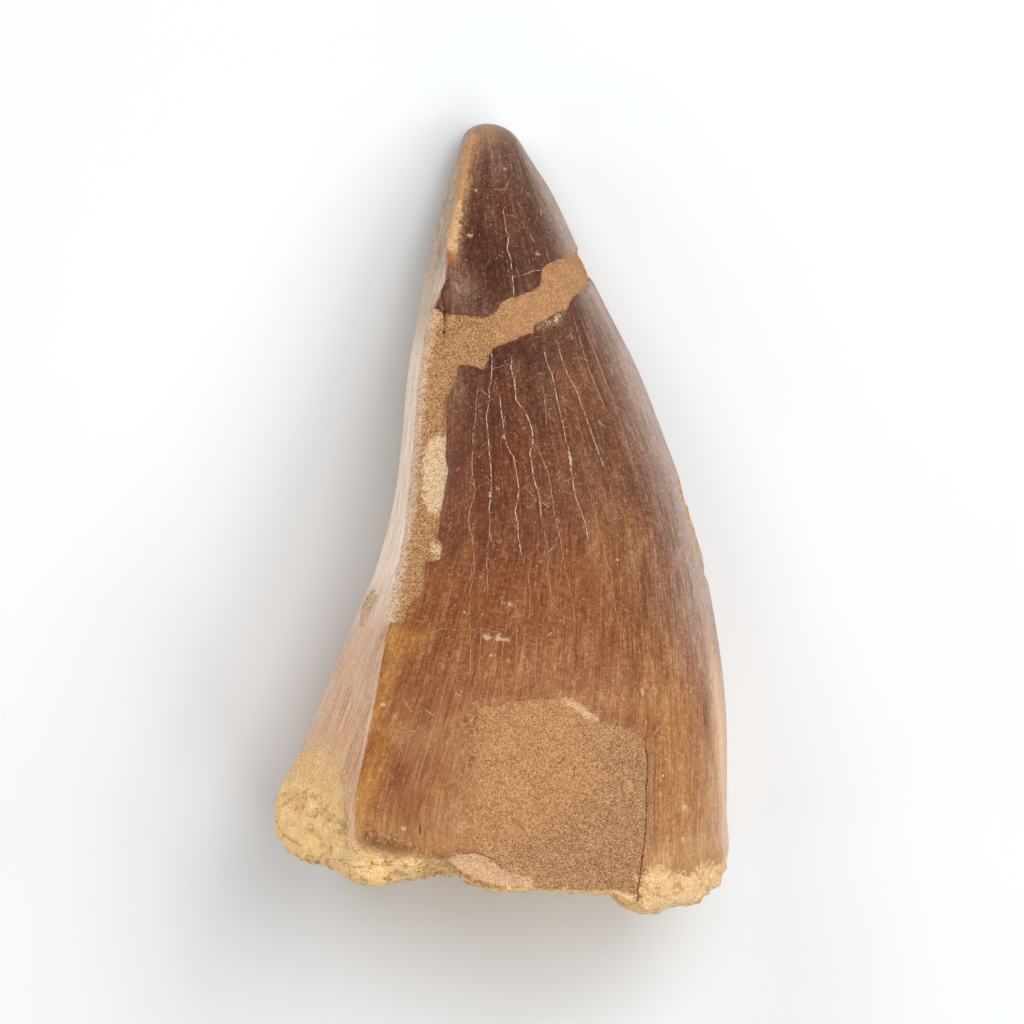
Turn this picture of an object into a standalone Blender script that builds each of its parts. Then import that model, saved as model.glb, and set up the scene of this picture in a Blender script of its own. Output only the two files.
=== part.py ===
"""A fossil mosasaur tooth: one restored crown, lying on its side.

The tooth is one solid. Its skin is a sphere's grid of meridians and rings, drawn out so that one
pole is the tip and the other is the middle of the broken base. Two meridians run along the keels,
where the tooth's two faces meet. Working values are millimetres, and the finished mesh is metres.

X runs across the tooth, Y from the base to the tip, and Z up from the surface that it lies on.
"""
import math

import bmesh
import bpy
import numpy as np
from mathutils import Vector, noise

NAME = "mosasaur_tooth"
MM = 0.001

# Driving dimensions
LENGTH = 60.0
WIDTH = 34.6
THICKNESS = 26.8
TIP_Y = LENGTH / 2
TIP_POINT = 0.001         # the half width of the tip's last point

# Cross-sections as shares of the driving dimensions: the distance from the tip, the left and
# right edges from the long axis, then the underside and the top above the surface.
SECTIONS = (
    (0.000, -0.032, -0.032, 0.100, 0.100),
    (0.010, -0.078, 0.020, 0.045, 0.158),
    (0.030, -0.093, 0.048, 0.010, 0.190),
    (0.073, -0.117, 0.087, -0.014, 0.243),
    (0.162, -0.157, 0.160, 0.000, 0.358),
    (0.288, -0.196, 0.268, 0.040, 0.507),
    (0.417, -0.225, 0.360, 0.056, 0.646),
    (0.517, -0.251, 0.423, 0.052, 0.735),
    (0.605, -0.306, 0.450, 0.036, 0.812),
    (0.707, -0.376, 0.476, 0.018, 0.893),
    (0.800, -0.446, 0.489, 0.000, 0.958),
    (0.870, -0.490, 0.491, -0.012, 0.986),
    (1.000, -0.496, 0.488, -0.014, 1.000),
)
ROUNDNESS = 2.12          # 2 makes an ellipse, and more squares it off

# The broken edge of the base: the angle round the tooth, from the right edge over the top, and
# how far the break stands above the lowest point of the base.
BREAK_EDGE = (
    (0, 3.9), (14, 1.7), (29, 0.7), (38, 0.5), (48, 0.0), (54, 0.5), (60, 1.2), (75, 1.4),
    (88, 1.6), (96, 2.1), (105, 3.8), (113, 3.1), (123, 2.4), (135, 3.1), (152, 4.4), (166, 6.1),
    (178, 7.6), (196, 6.2), (215, 4.0), (240, 2.6), (262, 3.4), (285, 2.2), (310, 3.0),
    (335, 2.5), (350, 3.2),
)
BREAK_ROUNDING = 1.1
HOLLOW_FLOOR = 5.8        # how far the pulp hollow's floor stands above the break's lowest point
SHOULDER = 3.2            # the same for the dentine round the hollow
HOLLOW_SHARE = 0.36       # the hollow's floor and its mouth, as shares of the break's radius
MOUTH_SHARE = 0.56

# The two keels: share of the length from the tip, and angle round the tooth
LEFT_KEEL = (
    (0.0, 131), (0.08, 126), (0.13, 127), (0.25, 141), (0.49, 145), (0.64, 137.5), (0.79, 130.5),
    (1.0, 124),
)
RIGHT_KEEL = ((0.0, -14), (0.35, -9), (0.55, -3), (0.75, -8), (1.0, -14))
LEFT_KEEL_HEIGHT = 0.75
LEFT_KEEL_SPREAD = 3.2
RIGHT_KEEL_HEIGHT = 0.4
RIGHT_KEEL_SPREAD = 2.0

# The sandy repair that rings the upper crown: angle round the tooth, its lower and upper edges
REPAIR_BAND = (
    (0, 16.8, 20.6), (24, 16.4, 20.0), (50, 15.4, 18.0), (75, 14.4, 16.4), (100, 12.6, 15.6),
    (130, 10.6, 15.4), (165, 10.2, 14.6), (200, 11.0, 14.6), (235, 12.8, 16.0), (270, 13.6, 17.4),
    (305, 15.2, 19.0), (335, 16.4, 20.4),
)
REPAIR_DEPTH = 0.22

# The patch of bare dentine on the upper face: its outline across and along the tooth
BARE_PATCH = (
    (-3.4, -14.2), (0.2, -13.8), (4.6, -13.6), (7.2, -14.9), (10.0, -15.6), (11.2, -18.4),
    (11.1, -24.0), (10.4, -28.6), (2.0, -28.4), (-3.0, -25.4), (-3.6, -20.0),
)
PATCH_DEPTH = 0.3
PATCH_SLOPE = 0.6

# Lumps and hollows: angle round the tooth, height up its length, reach, and height of the swelling
LUMPS = (
    (163, -23.6, 2.6, 0.75), (148, -25.6, 1.9, 0.55), (176, -20.8, 1.7, 0.35),
    (132, -26.4, 1.6, 0.40), (118, -25.9, 1.2, -0.45), (104, -26.6, 1.1, -0.50),
    (46, -28.2, 1.6, 0.55), (31, -27.8, 1.4, 0.50), (14, -25.9, 1.5, 0.35),
    (58, -28.0, 0.9, -0.45), (210, -23.5, 2.4, 0.60), (232, -25.0, 1.7, -0.40),
    (255, -25.5, 2.2, 0.45), (296, -26.3, 2.4, 0.50), (325, -25.2, 1.8, -0.40),
    (345, -24.9, 1.6, 0.35), (2, 0.6, 2.4, -0.25), (186, -4.4, 1.6, -0.25),
    (118, 28.3, 1.5, -0.25),
)

# Uneven skin: waves to a millimetre, and how high they stand
BREAK_WAVES = ((0.26, 0.9), (0.57, 0.5))
CROWN_WAVES = ((0.13, 0.2),)
BREAK_OVERHANG = 0.1      # the most that the break stands out past its edge
TIP_FADE = 2.5            # the stretch below the tip in which the relief dies out

# The crevice where the enamel ends over a crust of cementum: angles round the tooth, height
# above the broken edge, width and depth
CREVICE = (106, 172)
CREVICE_LEVEL = 1.5
CREVICE_WIDTH = 0.55
CREVICE_DEPTH = 0.5
CREVICE_FADE = 8

# The grid
MERIDIANS = 80
RINGS = 60
FACE_MERIDIANS = 34       # meridians from the right keel, over the top, to the left keel
BREAK_RINGS = 12          # rings from the middle of the break to its edge
END_CROWDING = 0.4        # crowds the rings together at the tip and at the base

COLOUR = (0.33, 0.15, 0.075, 1.0)
ROUGHNESS = 0.42


def clear_scene():
    for thing in list(bpy.data.objects):
        bpy.data.objects.remove(thing, do_unlink=True)


def through_points(at, xs, ys):
    """A smooth curve through points: cubic pieces with averaged slopes."""
    xs, ys = np.asarray(xs, float), np.asarray(ys, float)
    steps = np.diff(ys) / np.diff(xs)
    slopes = np.empty_like(ys)
    slopes[0], slopes[-1] = steps[0], steps[-1]
    slopes[1:-1] = (steps[:-1] + steps[1:]) / 2
    left = np.clip(np.searchsorted(xs, at) - 1, 0, len(xs) - 2)
    gap = xs[left + 1] - xs[left]
    s = np.clip((at - xs[left]) / gap, 0, 1)
    return (
        ys[left] * (1 + 2 * s) * (1 - s) ** 2
        + gap * slopes[left] * s * (1 - s) ** 2
        + ys[left + 1] * s * s * (3 - 2 * s)
        + gap * slopes[left + 1] * s * s * (s - 1)
    )


def round_the_tooth(angle, xs, ys):
    """The same kind of curve, closed on itself after a full turn of the angle in degrees."""
    turns = np.concatenate([np.asarray(xs[-3:]) - 360, xs, np.asarray(xs[:3]) + 360])
    values = np.concatenate([ys[-3:], ys, ys[:3]])
    return through_points(np.mod(angle, 360), turns, values)


def blend(low, high, value):
    """0 below low, 1 above high, and a smooth step between."""
    s = np.clip((value - low) / (high - low), 0, 1)
    return s * s * (3 - 2 * s)


def waves(points, layers):
    """Soft uneven noise at each point, summed from layers of waves per millimetre and height."""
    total = np.zeros(len(points))
    for grain, height in layers:
        total += height * np.array([noise.noise(Vector(p) * grain) for p in points])
    return total


def section(y):
    """The middle and half size of the cross-section at height y: x, half width, z, half depth."""
    # Read by the root of the distance from the tip, which rounds the tip off
    root = np.sqrt(np.clip(TIP_Y - y, 0, LENGTH) / LENGTH)
    table = np.array(SECTIONS)
    roots = np.sqrt(table[:, 0])
    left, right = (through_points(root, roots, table[:, c]) * WIDTH for c in (1, 2))
    under, top = (through_points(root, roots, table[:, c]) * THICKNESS for c in (3, 4))
    half_width = np.maximum((right - left) / 2, TIP_POINT)
    half_depth = np.maximum((top - under) / 2, TIP_POINT)
    return (left + right) / 2, half_width, (top + under) / 2, half_depth


def keel_angle(y, stations):
    table = np.array(stations, float)
    return through_points((TIP_Y - y) / LENGTH, table[:, 0], table[:, 1])


def break_height(angle):
    table = np.array(BREAK_EDGE, float)
    return round_the_tooth(angle, table[:, 0], table[:, 1]) - LENGTH / 2


def angle_round(share, y):
    """The angle, in degrees, of a meridian's share of the way round, at height y."""
    face = FACE_MERIDIANS / MERIDIANS
    right, left = keel_angle(y, RIGHT_KEEL), keel_angle(y, LEFT_KEEL)
    over_top = right + (left - right) * share / face
    underneath = left + (360 + right - left) * (share - face) / (1 - face)
    return np.where(share < face, over_top, underneath)


def ring_heights(share):
    """Distance from the tip, 0 to 1, of rings that crowd together at both ends."""
    rest = (1 - share) ** 1.25
    return rest - END_CROWDING * np.sin(2 * math.pi * rest) / (2 * math.pi)


def skin(meridian, ring):
    """Place the grid: the angle, height, and radius share of each vertex, 1 on the crown."""
    around, up = meridian / MERIDIANS, ring / RINGS
    edge_at = BREAK_RINGS / RINGS
    edge = break_height(angle_round(around, np.full_like(around, -TIP_Y + 2.0)))
    crown_y = TIP_Y - (TIP_Y - edge) * ring_heights(np.clip((up - edge_at) / (1 - edge_at), 0, 1))
    on_break = up < edge_at
    out = np.clip(up / edge_at, 0, 1)
    rise = HOLLOW_FLOOR + (SHOULDER - HOLLOW_FLOOR) * blend(HOLLOW_SHARE, MOUTH_SHARE, out)
    shoulder = rise - LENGTH / 2
    break_y = shoulder + (edge - shoulder) * blend(MOUTH_SHARE, 1.0, out)
    y = np.where(on_break, break_y, crown_y)
    return angle_round(around, np.where(on_break, edge, crown_y)), y, out, on_break, edge


def shape(angle, y, out, on_break, edge):
    """Vertex places, and the direction in which each one faces, before any relief."""
    x0, half_width, z0, half_depth = section(np.where(on_break, edge, y))
    turn = np.radians(angle)
    power = 2 / ROUNDNESS
    across = np.sign(np.cos(turn)) * np.abs(np.cos(turn)) ** power
    above = np.sign(np.sin(turn)) * np.abs(np.sin(turn)) ** power
    mean = (half_width + half_depth) / 2
    in_rounding = np.clip(1 - (y - edge) / BREAK_ROUNDING, 0, 1)
    rounding = 1 - BREAK_ROUNDING / mean * (1 - np.sqrt(1 - in_rounding ** 2))
    reach = np.where(on_break, out * (1 - BREAK_ROUNDING / mean), rounding)
    places = np.stack([x0 + half_width * across * reach, y, z0 + half_depth * above * reach], 1)
    faces = np.stack([across / half_width, np.zeros_like(y), above / half_depth], 1)
    faces[on_break] = (0, -1, 0)
    tip = TIP_Y - y < 0.02
    faces[tip] = (0, 1, 0)
    faces /= np.linalg.norm(faces, axis=1, keepdims=True)
    return places, faces, mean


def round_gap(angle, centre, mean):
    """Distance round the skin, in millimetres, from the meridian at the centre angle."""
    return np.radians(np.mod(angle - centre + 180, 360) - 180) * mean


def patch_inside(x, y, outline):
    """Distance inside a closed outline, and below 0 outside it."""
    corners = np.array(outline)
    ends = np.roll(corners, -1, axis=0)
    nearest = np.full_like(x, 1e9)
    inside = np.zeros(x.shape, bool)
    for (ax, ay), (bx, by) in zip(corners, ends):
        dx, dy = bx - ax, by - ay
        s = np.clip(((x - ax) * dx + (y - ay) * dy) / (dx * dx + dy * dy), 0, 1)
        nearest = np.minimum(nearest, np.hypot(x - ax - s * dx, y - ay - s * dy))
        crosses = (ay > y) != (by > y)
        inside ^= crosses & (x < ax + (y - ay) * dx / (dy if dy else 1e-9))
    return np.where(inside, nearest, -nearest)


def relief(angle, y, places, on_break, edge, mean):
    """How far the skin stands out from the smooth shape at each vertex."""
    height = waves(places, CROWN_WAVES)
    # Keels: straight flanks that meet at a corner, fading out at the tip
    fade = blend(1.0, 6.0, TIP_Y - y)
    keels = (
        (LEFT_KEEL, LEFT_KEEL_HEIGHT, LEFT_KEEL_SPREAD),
        (RIGHT_KEEL, RIGHT_KEEL_HEIGHT, RIGHT_KEEL_SPREAD),
    )
    for stations, rise, spread in keels:
        reach = spread * np.clip(mean / 12, 0.3, 1.2)
        gap = np.abs(round_gap(angle, keel_angle(y, stations), mean))
        height += rise * fade * np.clip(1 - gap / reach, 0, 1) ** 1.3
    # The repair, a little below the enamel
    band = np.array(REPAIR_BAND, float)
    low, high = (round_the_tooth(angle, band[:, 0], band[:, c]) for c in (1, 2))
    height -= REPAIR_DEPTH * blend(0.0, 0.8, np.minimum(y - low, high - y))
    # Bare dentine, where the enamel is lost from the upper face
    upper = np.sin(np.radians(angle)) > 0
    depth = patch_inside(places[:, 0], y, BARE_PATCH)
    height -= np.where(upper, PATCH_DEPTH * blend(0, PATCH_SLOPE, depth), 0)
    for centre, level, reach, rise in LUMPS:
        gap = np.hypot(round_gap(angle, centre, mean), y - level) / reach
        height += np.where(on_break, 0, rise * np.exp(-gap * gap))
    start, end = CREVICE
    along = blend(start, start + CREVICE_FADE, angle) * (1 - blend(end - CREVICE_FADE, end, angle))
    gap = (y - edge - CREVICE_LEVEL) / CREVICE_WIDTH
    height -= np.where(on_break, 0, CREVICE_DEPTH * along * np.exp(-gap * gap))
    height *= blend(0, TIP_FADE, TIP_Y - y)
    return np.where(on_break, waves(places, BREAK_WAVES), height)


def build_mesh():
    """The finished skin: a sphere's grid, each vertex moved to its place on the tooth."""
    grid = bmesh.new()
    bmesh.ops.create_uvsphere(grid, u_segments=MERIDIANS, v_segments=RINGS, radius=1.0)
    ball = np.array([v.co[:] for v in grid.verts])
    ring = np.round(np.arccos(np.clip(-ball[:, 2], -1, 1)) / math.pi * RINGS)
    turn = np.mod(np.arctan2(ball[:, 1], ball[:, 0]) / (2 * math.pi), 1)
    meridian = np.mod(np.round(turn * MERIDIANS), MERIDIANS)
    angle, y, out, on_break, edge = skin(meridian, ring)
    places, faces, mean = shape(angle, y, out, on_break, edge)
    places += faces * relief(angle, y, places, on_break, edge, mean)[:, None]
    # Each pole takes one place, so that it doesn't depend on a meridian
    for pole in (0, RINGS):
        places[ring == pole] = places[ring == pole].mean(axis=0)
    places[on_break, 1] = np.maximum(places[on_break, 1], (edge - BREAK_OVERHANG)[on_break])
    # What would dip into the surface is flat against it
    places[:, 2] = np.maximum(places[:, 2], 0)
    for vertex, place in zip(grid.verts, places):
        vertex.co = Vector(place) * MM
    bmesh.ops.recalc_face_normals(grid, faces=grid.faces)
    mesh = bpy.data.meshes.new(NAME)
    grid.to_mesh(mesh)
    grid.free()
    mesh.shade_smooth()
    return mesh


def fossil_material():
    material = bpy.data.materials.new("fossil_tooth")
    material.use_nodes = True
    shader = material.node_tree.nodes["Principled BSDF"]
    shader.inputs["Base Color"].default_value = COLOUR
    shader.inputs["Roughness"].default_value = ROUGHNESS
    shader.inputs["Metallic"].default_value = 0.0
    return material


def main():
    clear_scene()
    collection = bpy.data.collections.new("Fossil mosasaur tooth")
    bpy.context.scene.collection.children.link(collection)
    tooth = bpy.data.objects.new(NAME, build_mesh())
    tooth.data.materials.append(fossil_material())
    collection.objects.link(tooth)


main()
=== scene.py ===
"""The looks of a fossil mosasaur tooth: enamel, sandy repair, bare dentine and a crumbly base.

The tooth is one skin, a grid of meridians and rings drawn out into the CAD solid's shape, with
finer relief. Its markings are outlines, lines and soft tones placed on it. Each is kept
on the mesh as a distance in millimetres, which the material turns into a crisp uneven edge.
"""

import functools
import math

import bmesh
import bpy
import numpy as np
from mathutils import Euler, Matrix, Vector, noise


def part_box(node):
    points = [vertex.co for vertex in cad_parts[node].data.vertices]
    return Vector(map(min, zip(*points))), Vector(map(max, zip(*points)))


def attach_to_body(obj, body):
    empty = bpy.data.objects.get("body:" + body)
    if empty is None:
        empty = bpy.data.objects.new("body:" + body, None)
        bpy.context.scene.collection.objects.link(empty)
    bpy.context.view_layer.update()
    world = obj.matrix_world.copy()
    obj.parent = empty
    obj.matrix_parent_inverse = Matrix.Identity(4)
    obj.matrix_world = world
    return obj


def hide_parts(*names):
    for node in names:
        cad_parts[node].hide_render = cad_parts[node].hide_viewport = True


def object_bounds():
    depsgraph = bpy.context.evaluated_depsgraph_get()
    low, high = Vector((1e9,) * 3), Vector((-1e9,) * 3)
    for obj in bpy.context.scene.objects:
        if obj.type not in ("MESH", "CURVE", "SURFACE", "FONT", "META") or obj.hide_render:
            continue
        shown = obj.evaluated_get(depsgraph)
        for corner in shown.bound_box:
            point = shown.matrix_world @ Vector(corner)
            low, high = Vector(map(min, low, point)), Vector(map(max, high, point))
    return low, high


bl_info = {
    "name": "Fossil Tooth",
    "version": (1, 0, 0),
    "blender": (4, 5, 0),
    "location": "View3D > Sidebar > Fossil",
    "description": "Builds a lying fossil tooth with its studio",
    "category": "Add Mesh",
}

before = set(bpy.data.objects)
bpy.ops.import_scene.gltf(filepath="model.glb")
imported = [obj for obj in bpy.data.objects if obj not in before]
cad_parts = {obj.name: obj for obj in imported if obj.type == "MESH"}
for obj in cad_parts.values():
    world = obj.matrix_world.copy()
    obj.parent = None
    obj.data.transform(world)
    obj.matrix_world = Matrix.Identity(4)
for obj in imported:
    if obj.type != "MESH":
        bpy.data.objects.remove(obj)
SOLID_BOX = [list(corner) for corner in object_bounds()]
NODE = "mosasaur_tooth"
MM = 0.001

# The tooth's size, in millimetres
LENGTH = 60.0
WIDTH = 34.6
THICKNESS = 26.8
TIP_Y = LENGTH / 2
TIP_POINT = 0.001

# The photograph's frame in pixels: its width, the tooth's length and the tooth's middle. Then
# the millimetres to a pixel.
PICTURE = 1024
TOOTH_PIXELS = 790
MIDDLE = (501.5, 517.0)
PIXEL = LENGTH / TOOTH_PIXELS

# Cross-sections, as in the solid: distance from the tip, left and right edges, underside and top
SECTIONS = np.array((
    (0.000, -0.032, -0.032, 0.100, 0.100),
    (0.010, -0.078, 0.020, 0.045, 0.158),
    (0.030, -0.093, 0.048, 0.010, 0.190),
    (0.073, -0.117, 0.087, -0.014, 0.243),
    (0.162, -0.157, 0.160, 0.000, 0.358),
    (0.288, -0.196, 0.268, 0.040, 0.507),
    (0.417, -0.225, 0.360, 0.056, 0.646),
    (0.517, -0.251, 0.423, 0.052, 0.735),
    (0.605, -0.306, 0.450, 0.036, 0.812),
    (0.707, -0.376, 0.476, 0.018, 0.893),
    (0.800, -0.446, 0.489, 0.000, 0.958),
    (0.870, -0.490, 0.491, -0.012, 0.986),
    (1.000, -0.496, 0.488, -0.014, 1.000),
))
ROUNDNESS = 2.12

# The broken edge of the base: angle round the tooth, and height above its lowest point
BREAK_EDGE = np.array((
    (0, 3.9), (14, 1.7), (29, 0.7), (38, 0.5), (48, 0.0), (54, 0.5), (60, 1.2), (75, 1.4),
    (88, 1.6), (96, 2.1), (105, 3.8), (113, 3.1), (123, 2.4), (135, 3.1), (152, 4.4), (166, 6.1),
    (178, 7.6), (196, 6.2), (215, 4.0), (240, 2.6), (262, 3.4), (285, 2.2), (310, 3.0),
    (335, 2.5), (350, 3.2),
))
BREAK_ROUNDING = 1.1
HOLLOW_FLOOR = 5.8        # how far the pulp hollow's floor stands above the break's lowest point
SHOULDER = 3.2            # the same for the dentine round the hollow
HOLLOW_SHARE = 0.36       # the hollow's floor and its mouth, as shares of the break's radius
MOUTH_SHARE = 0.56
RIM_SHARE = 0.75          # where the break's rim starts to follow the crown's relief
RIM_HEIGHT = 0.35         # how far up the crown the broken surface reaches

# The keels: share of the length from the tip, and angle round the tooth
LEFT_KEEL = np.array((
    (0.0, 131), (0.08, 126), (0.13, 127), (0.25, 141), (0.49, 145), (0.64, 137.5), (0.79, 130.5),
    (1.0, 124),
))
RIGHT_KEEL = np.array(((0.0, -14), (0.35, -9), (0.55, -3), (0.75, -8), (1.0, -14)))
# Each keel's height and the spread of its flanks
KEELS = ((LEFT_KEEL, 0.75, 3.2), (RIGHT_KEEL, 0.4, 2.0))
KEEL_FADE = (1.0, 6.0)      # the stretch below the tip in which they rise
KEEL_RADIUS = 12            # the tooth's radius where a keel has the spread above
KEEL_SPREADS = (0.3, 1.2)   # the least and the most of it, as shares
KEEL_POWER = 1.3            # how hollow the flanks are

# Lumps and hollows near the base: angle, height, reach and swelling
LUMPS = (
    (163, -23.6, 2.6, 0.75), (148, -25.6, 1.9, 0.55), (176, -20.8, 1.7, 0.35),
    (132, -26.4, 1.6, 0.40), (118, -25.9, 1.2, -0.45), (104, -26.6, 1.1, -0.50),
    (46, -28.2, 1.6, 0.55), (31, -27.8, 1.4, 0.50), (14, -25.9, 1.5, 0.35),
    (58, -28.0, 0.9, -0.45), (210, -23.5, 2.4, 0.60), (232, -25.0, 1.7, -0.40),
    (255, -25.5, 2.2, 0.45), (296, -26.3, 2.4, 0.50), (325, -25.2, 1.8, -0.40),
    (345, -24.9, 1.6, 0.35), (2, 0.6, 2.4, -0.25), (186, -4.4, 1.6, -0.25),
    (118, 28.3, 1.5, -0.25),
)

# Slow uneven relief: waves a millimetre, and how high they stand
CROWN_WAVES = ((0.13, 0.2),)
BREAK_WAVES = ((0.26, 0.9), (0.57, 0.5))
TIP_FADE = 2.5            # the stretch below the tip in which the large relief dies out
FINE_TIP_FADE = 1.5       # the same for the fine relief
MIDDLE_FADE = 0.25        # the share of the break's radius in which relief dies out to its middle
FINE_OVERHANG = 0.25      # the most that fine relief stands out past the break's edge

# The skin's grid: the shares of its rows on the break and of its columns on the upper face, how
# its rows crowd together at both ends, and where each column is placed at the base
BREAK_ROWS = 0.2
UPPER_COLUMNS = 0.425
END_CROWDING = 0.4
ROW_POWER = 1.25
COLUMN_LEVEL = 2.0 - TIP_Y

# Reading a pixel's place off the skin: how far skin must face up to be seen, and the vertices
# that it is read from, which must be near enough, in millimetres
SEEN_TILT = 0.12
NEIGHBOURS = 8
NEAR = 0.3
# The angle of the upper face's middle
TOP = 90
# A distance past which a marking holds nothing
FAR = 9.0

# The sandy repair that rings the crown. Its seen edges are pixels of the photograph, right to
# left, and its unseen edges are angle and height in millimetres.
REPAIR_TOP = (
    (582, 251), (572, 252), (568, 257), (559, 259), (547, 264), (542.5, 269), (541.5, 278),
    (540, 286), (530, 292), (512, 297), (500, 303), (498, 309), (487, 317), (470, 315),
    (446, 314), (437, 312),
)
REPAIR_FOOT = (
    (592, 279), (581, 290), (573, 297), (567, 308), (558, 311), (547, 318), (535, 323),
    (534, 332), (526, 334), (512, 341), (498, 346), (491, 349), (488, 360), (483, 369),
    (475, 366), (458, 364), (440, 378),
)
REPAIR_TOP_UNSEEN = ((190, 14.2), (212, 14.6), (235, 16.0), (262, 17.8), (290, 17.2), (330, 20.0))
REPAIR_FOOT_UNSEEN = ((190, 10.8), (212, 11.2), (228, 10.2), (240, 12.8), (275, 13.8), (330, 16.6))
# The side facet carries no repair past this angle, with a short overlap in millimetres
REPAIR_GAP = 188
REPAIR_OVERLAP = 0.5

# Outlines that run past the tooth's edge in the photograph go on round it, in degrees a millimetre
OVERSHOOT = 9.0

# Outlines on the upper face, in pixels of the photograph
SAND_STRIP = (
    (428, 306), (446, 314), (490, 340), (488, 360), (483, 369), (475, 366), (458, 364), (456, 382),
    (446, 398), (446, 426), (445, 458), (448, 468), (445, 486), (441, 509), (437, 537),
    (442, 546), (440, 558), (434, 561), (425, 562), (424, 592), (414, 601), (406, 610),
    (404, 625), (380, 627), (380, 603), (385, 575), (391, 545), (397, 505), (403, 455),
    (409, 415), (414, 380), (420, 340),
)
PALE_SAND = (
    (424, 448), (431, 438), (447, 432), (450, 468), (448, 487), (443, 506), (438, 517), (429, 514),
    (422, 500), (421, 475),
)
PALE_SAND_LOW = ((432, 543), (440, 546), (440, 556), (435, 558), (433, 552))
BARE_PATCH = (
    (480, 705), (511, 699), (540, 697), (568, 695), (578, 701), (591, 709), (602, 719),
    (629, 724), (641, 730), (646, 745), (648, 775), (647, 808), (646, 836), (642, 861),
    (637, 889), (637, 925), (520, 925), (500, 880), (474, 862), (458, 842), (462, 800),
    (472, 770), (468, 735),
)
GRIMY_PATCH = (
    (592, 722), (638, 730), (650, 760), (650, 808), (645, 861), (638, 900), (560, 894), (520, 872),
    (505, 850), (548, 832), (575, 812), (600, 795), (606, 770), (596, 745),
)
CHIP = (
    (458, 850), (475, 852), (486, 855), (498, 864), (509, 870), (532, 874), (533, 887),
    (505, 885), (477, 877), (456, 866), (445, 859),
)
PATCH_CHIP = ((560, 698), (572, 697), (582, 705), (596, 714), (598, 719), (586, 716), (574, 707))
CRUMBLY_SPOT = (
    (534, 324), (547, 317), (558, 312), (567, 307), (568, 315), (561, 323), (548, 329), (538, 330),
)
LEFT_CRUST = (
    (255, 820), (272, 798), (290, 784), (318, 788), (338, 804), (349, 820), (353, 834), (364, 843),
    (386, 848), (410, 854), (432, 858), (447, 865), (452, 900), (380, 920), (290, 900), (240, 850),
)
RIGHT_CRUST = (
    (641, 878), (648, 869), (662, 867), (676, 872), (690, 874), (702, 865), (714, 864), (724, 860),
    (740, 852), (750, 930), (640, 940), (634, 905),
)
SMOOTH_CRUST = (
    (268, 822), (286, 810), (304, 813), (312, 828), (328, 836), (322, 848), (300, 846), (282, 842),
)
RIM_CRUST = (
    (440, 868), (456, 871), (478, 882), (505, 889), (540, 891), (580, 894), (618, 894), (640, 900),
    (640, 930), (440, 930),
)
TIP_WEAR = (
    (472, 131), (465, 145), (461, 160), (459, 173), (456, 187), (457, 197), (453, 210), (450, 225),
    (447, 241), (447, 252), (449, 264), (454, 264), (459, 252), (459, 241), (461, 225), (463, 210),
    (466, 197), (469, 187), (469, 173), (470, 160), (473, 145), (478, 133),
)
TIP_LUMPS = (
    (452, 214), (448, 230), (446, 246), (447, 258), (455, 262), (460, 248), (461, 228), (463, 212),
    (459, 204),
)
PINK_SAND = (
    (598, 240), (572, 246), (552, 256), (538, 268), (530, 286), (506, 296), (497, 318), (502, 346),
    (534, 334), (562, 314), (598, 284),
)
RIGHT_WEAR = (
    (675, 470), (681, 474), (690, 500), (700, 530), (708, 556), (714, 580), (706, 584),
    (700, 560), (693, 540), (686, 515), (679, 490),
)
LEFT_WEAR = ((373, 587), (377, 597), (371, 610), (364, 626), (359, 622), (363, 602))
FACET_CRUST = (
    (262, 812), (274, 786), (288, 766), (304, 750), (322, 744), (337, 758), (345, 784), (350, 824),
    (310, 830), (276, 832),
)
OLIVE_WEDGE = ((384, 629), (410, 631), (428, 634), (440, 636), (424, 642), (404, 646), (378, 646))
MOTTLING = (
    (398, 700), (430, 694), (462, 698), (490, 702), (495, 730), (474, 770), (464, 800), (458, 836),
    (420, 850), (392, 838), (390, 800), (412, 776), (404, 740),
)
BASE_STAIN = ((358, 838), (376, 833), (398, 838), (412, 846), (400, 853), (376, 852), (362, 848))
RUST_SPOT = ((447, 255), (455, 256), (457, 264), (454, 269), (449, 268), (446, 262))
KEEL_RUST = ((441, 294), (445, 293), (447, 300), (445, 306), (441, 305))
LUMP_STAIN = ((340, 822), (345, 819), (348, 826), (345, 833), (341, 831))

# Outlines on the underside, as angle round the tooth and height in millimetres
UNDER_BARE = (
    (232, -12), (248, -10.5), (262, -12.5), (276, -16), (282, -21), (276, -29), (240, -29),
    (228, -22), (226, -16),
)
UNDER_SAND = ((214, 11.5), (228, 11), (224, 6), (216, -1), (209, -4), (207, 2))
UNDER_CRUST_RISE = 1.7
# The hidden face, by the angles between which its crust fades in, then out
HIDDEN_START, HIDDEN_END = (168, 190), (350, 366)
# The upper face, by the sine of the angle, and the angle at which the side facet ends
UPPER_SINE = -0.3
FACET_END = 225
# How far the sandy strip reaches over the left keel, and the height, reach and width of the
# swelling where the pale facet reaches past it, in millimetres
STRIP_OVERLAP = 0.6
FACET_BULGE = (17.6, 1.7, 0.28)

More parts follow.
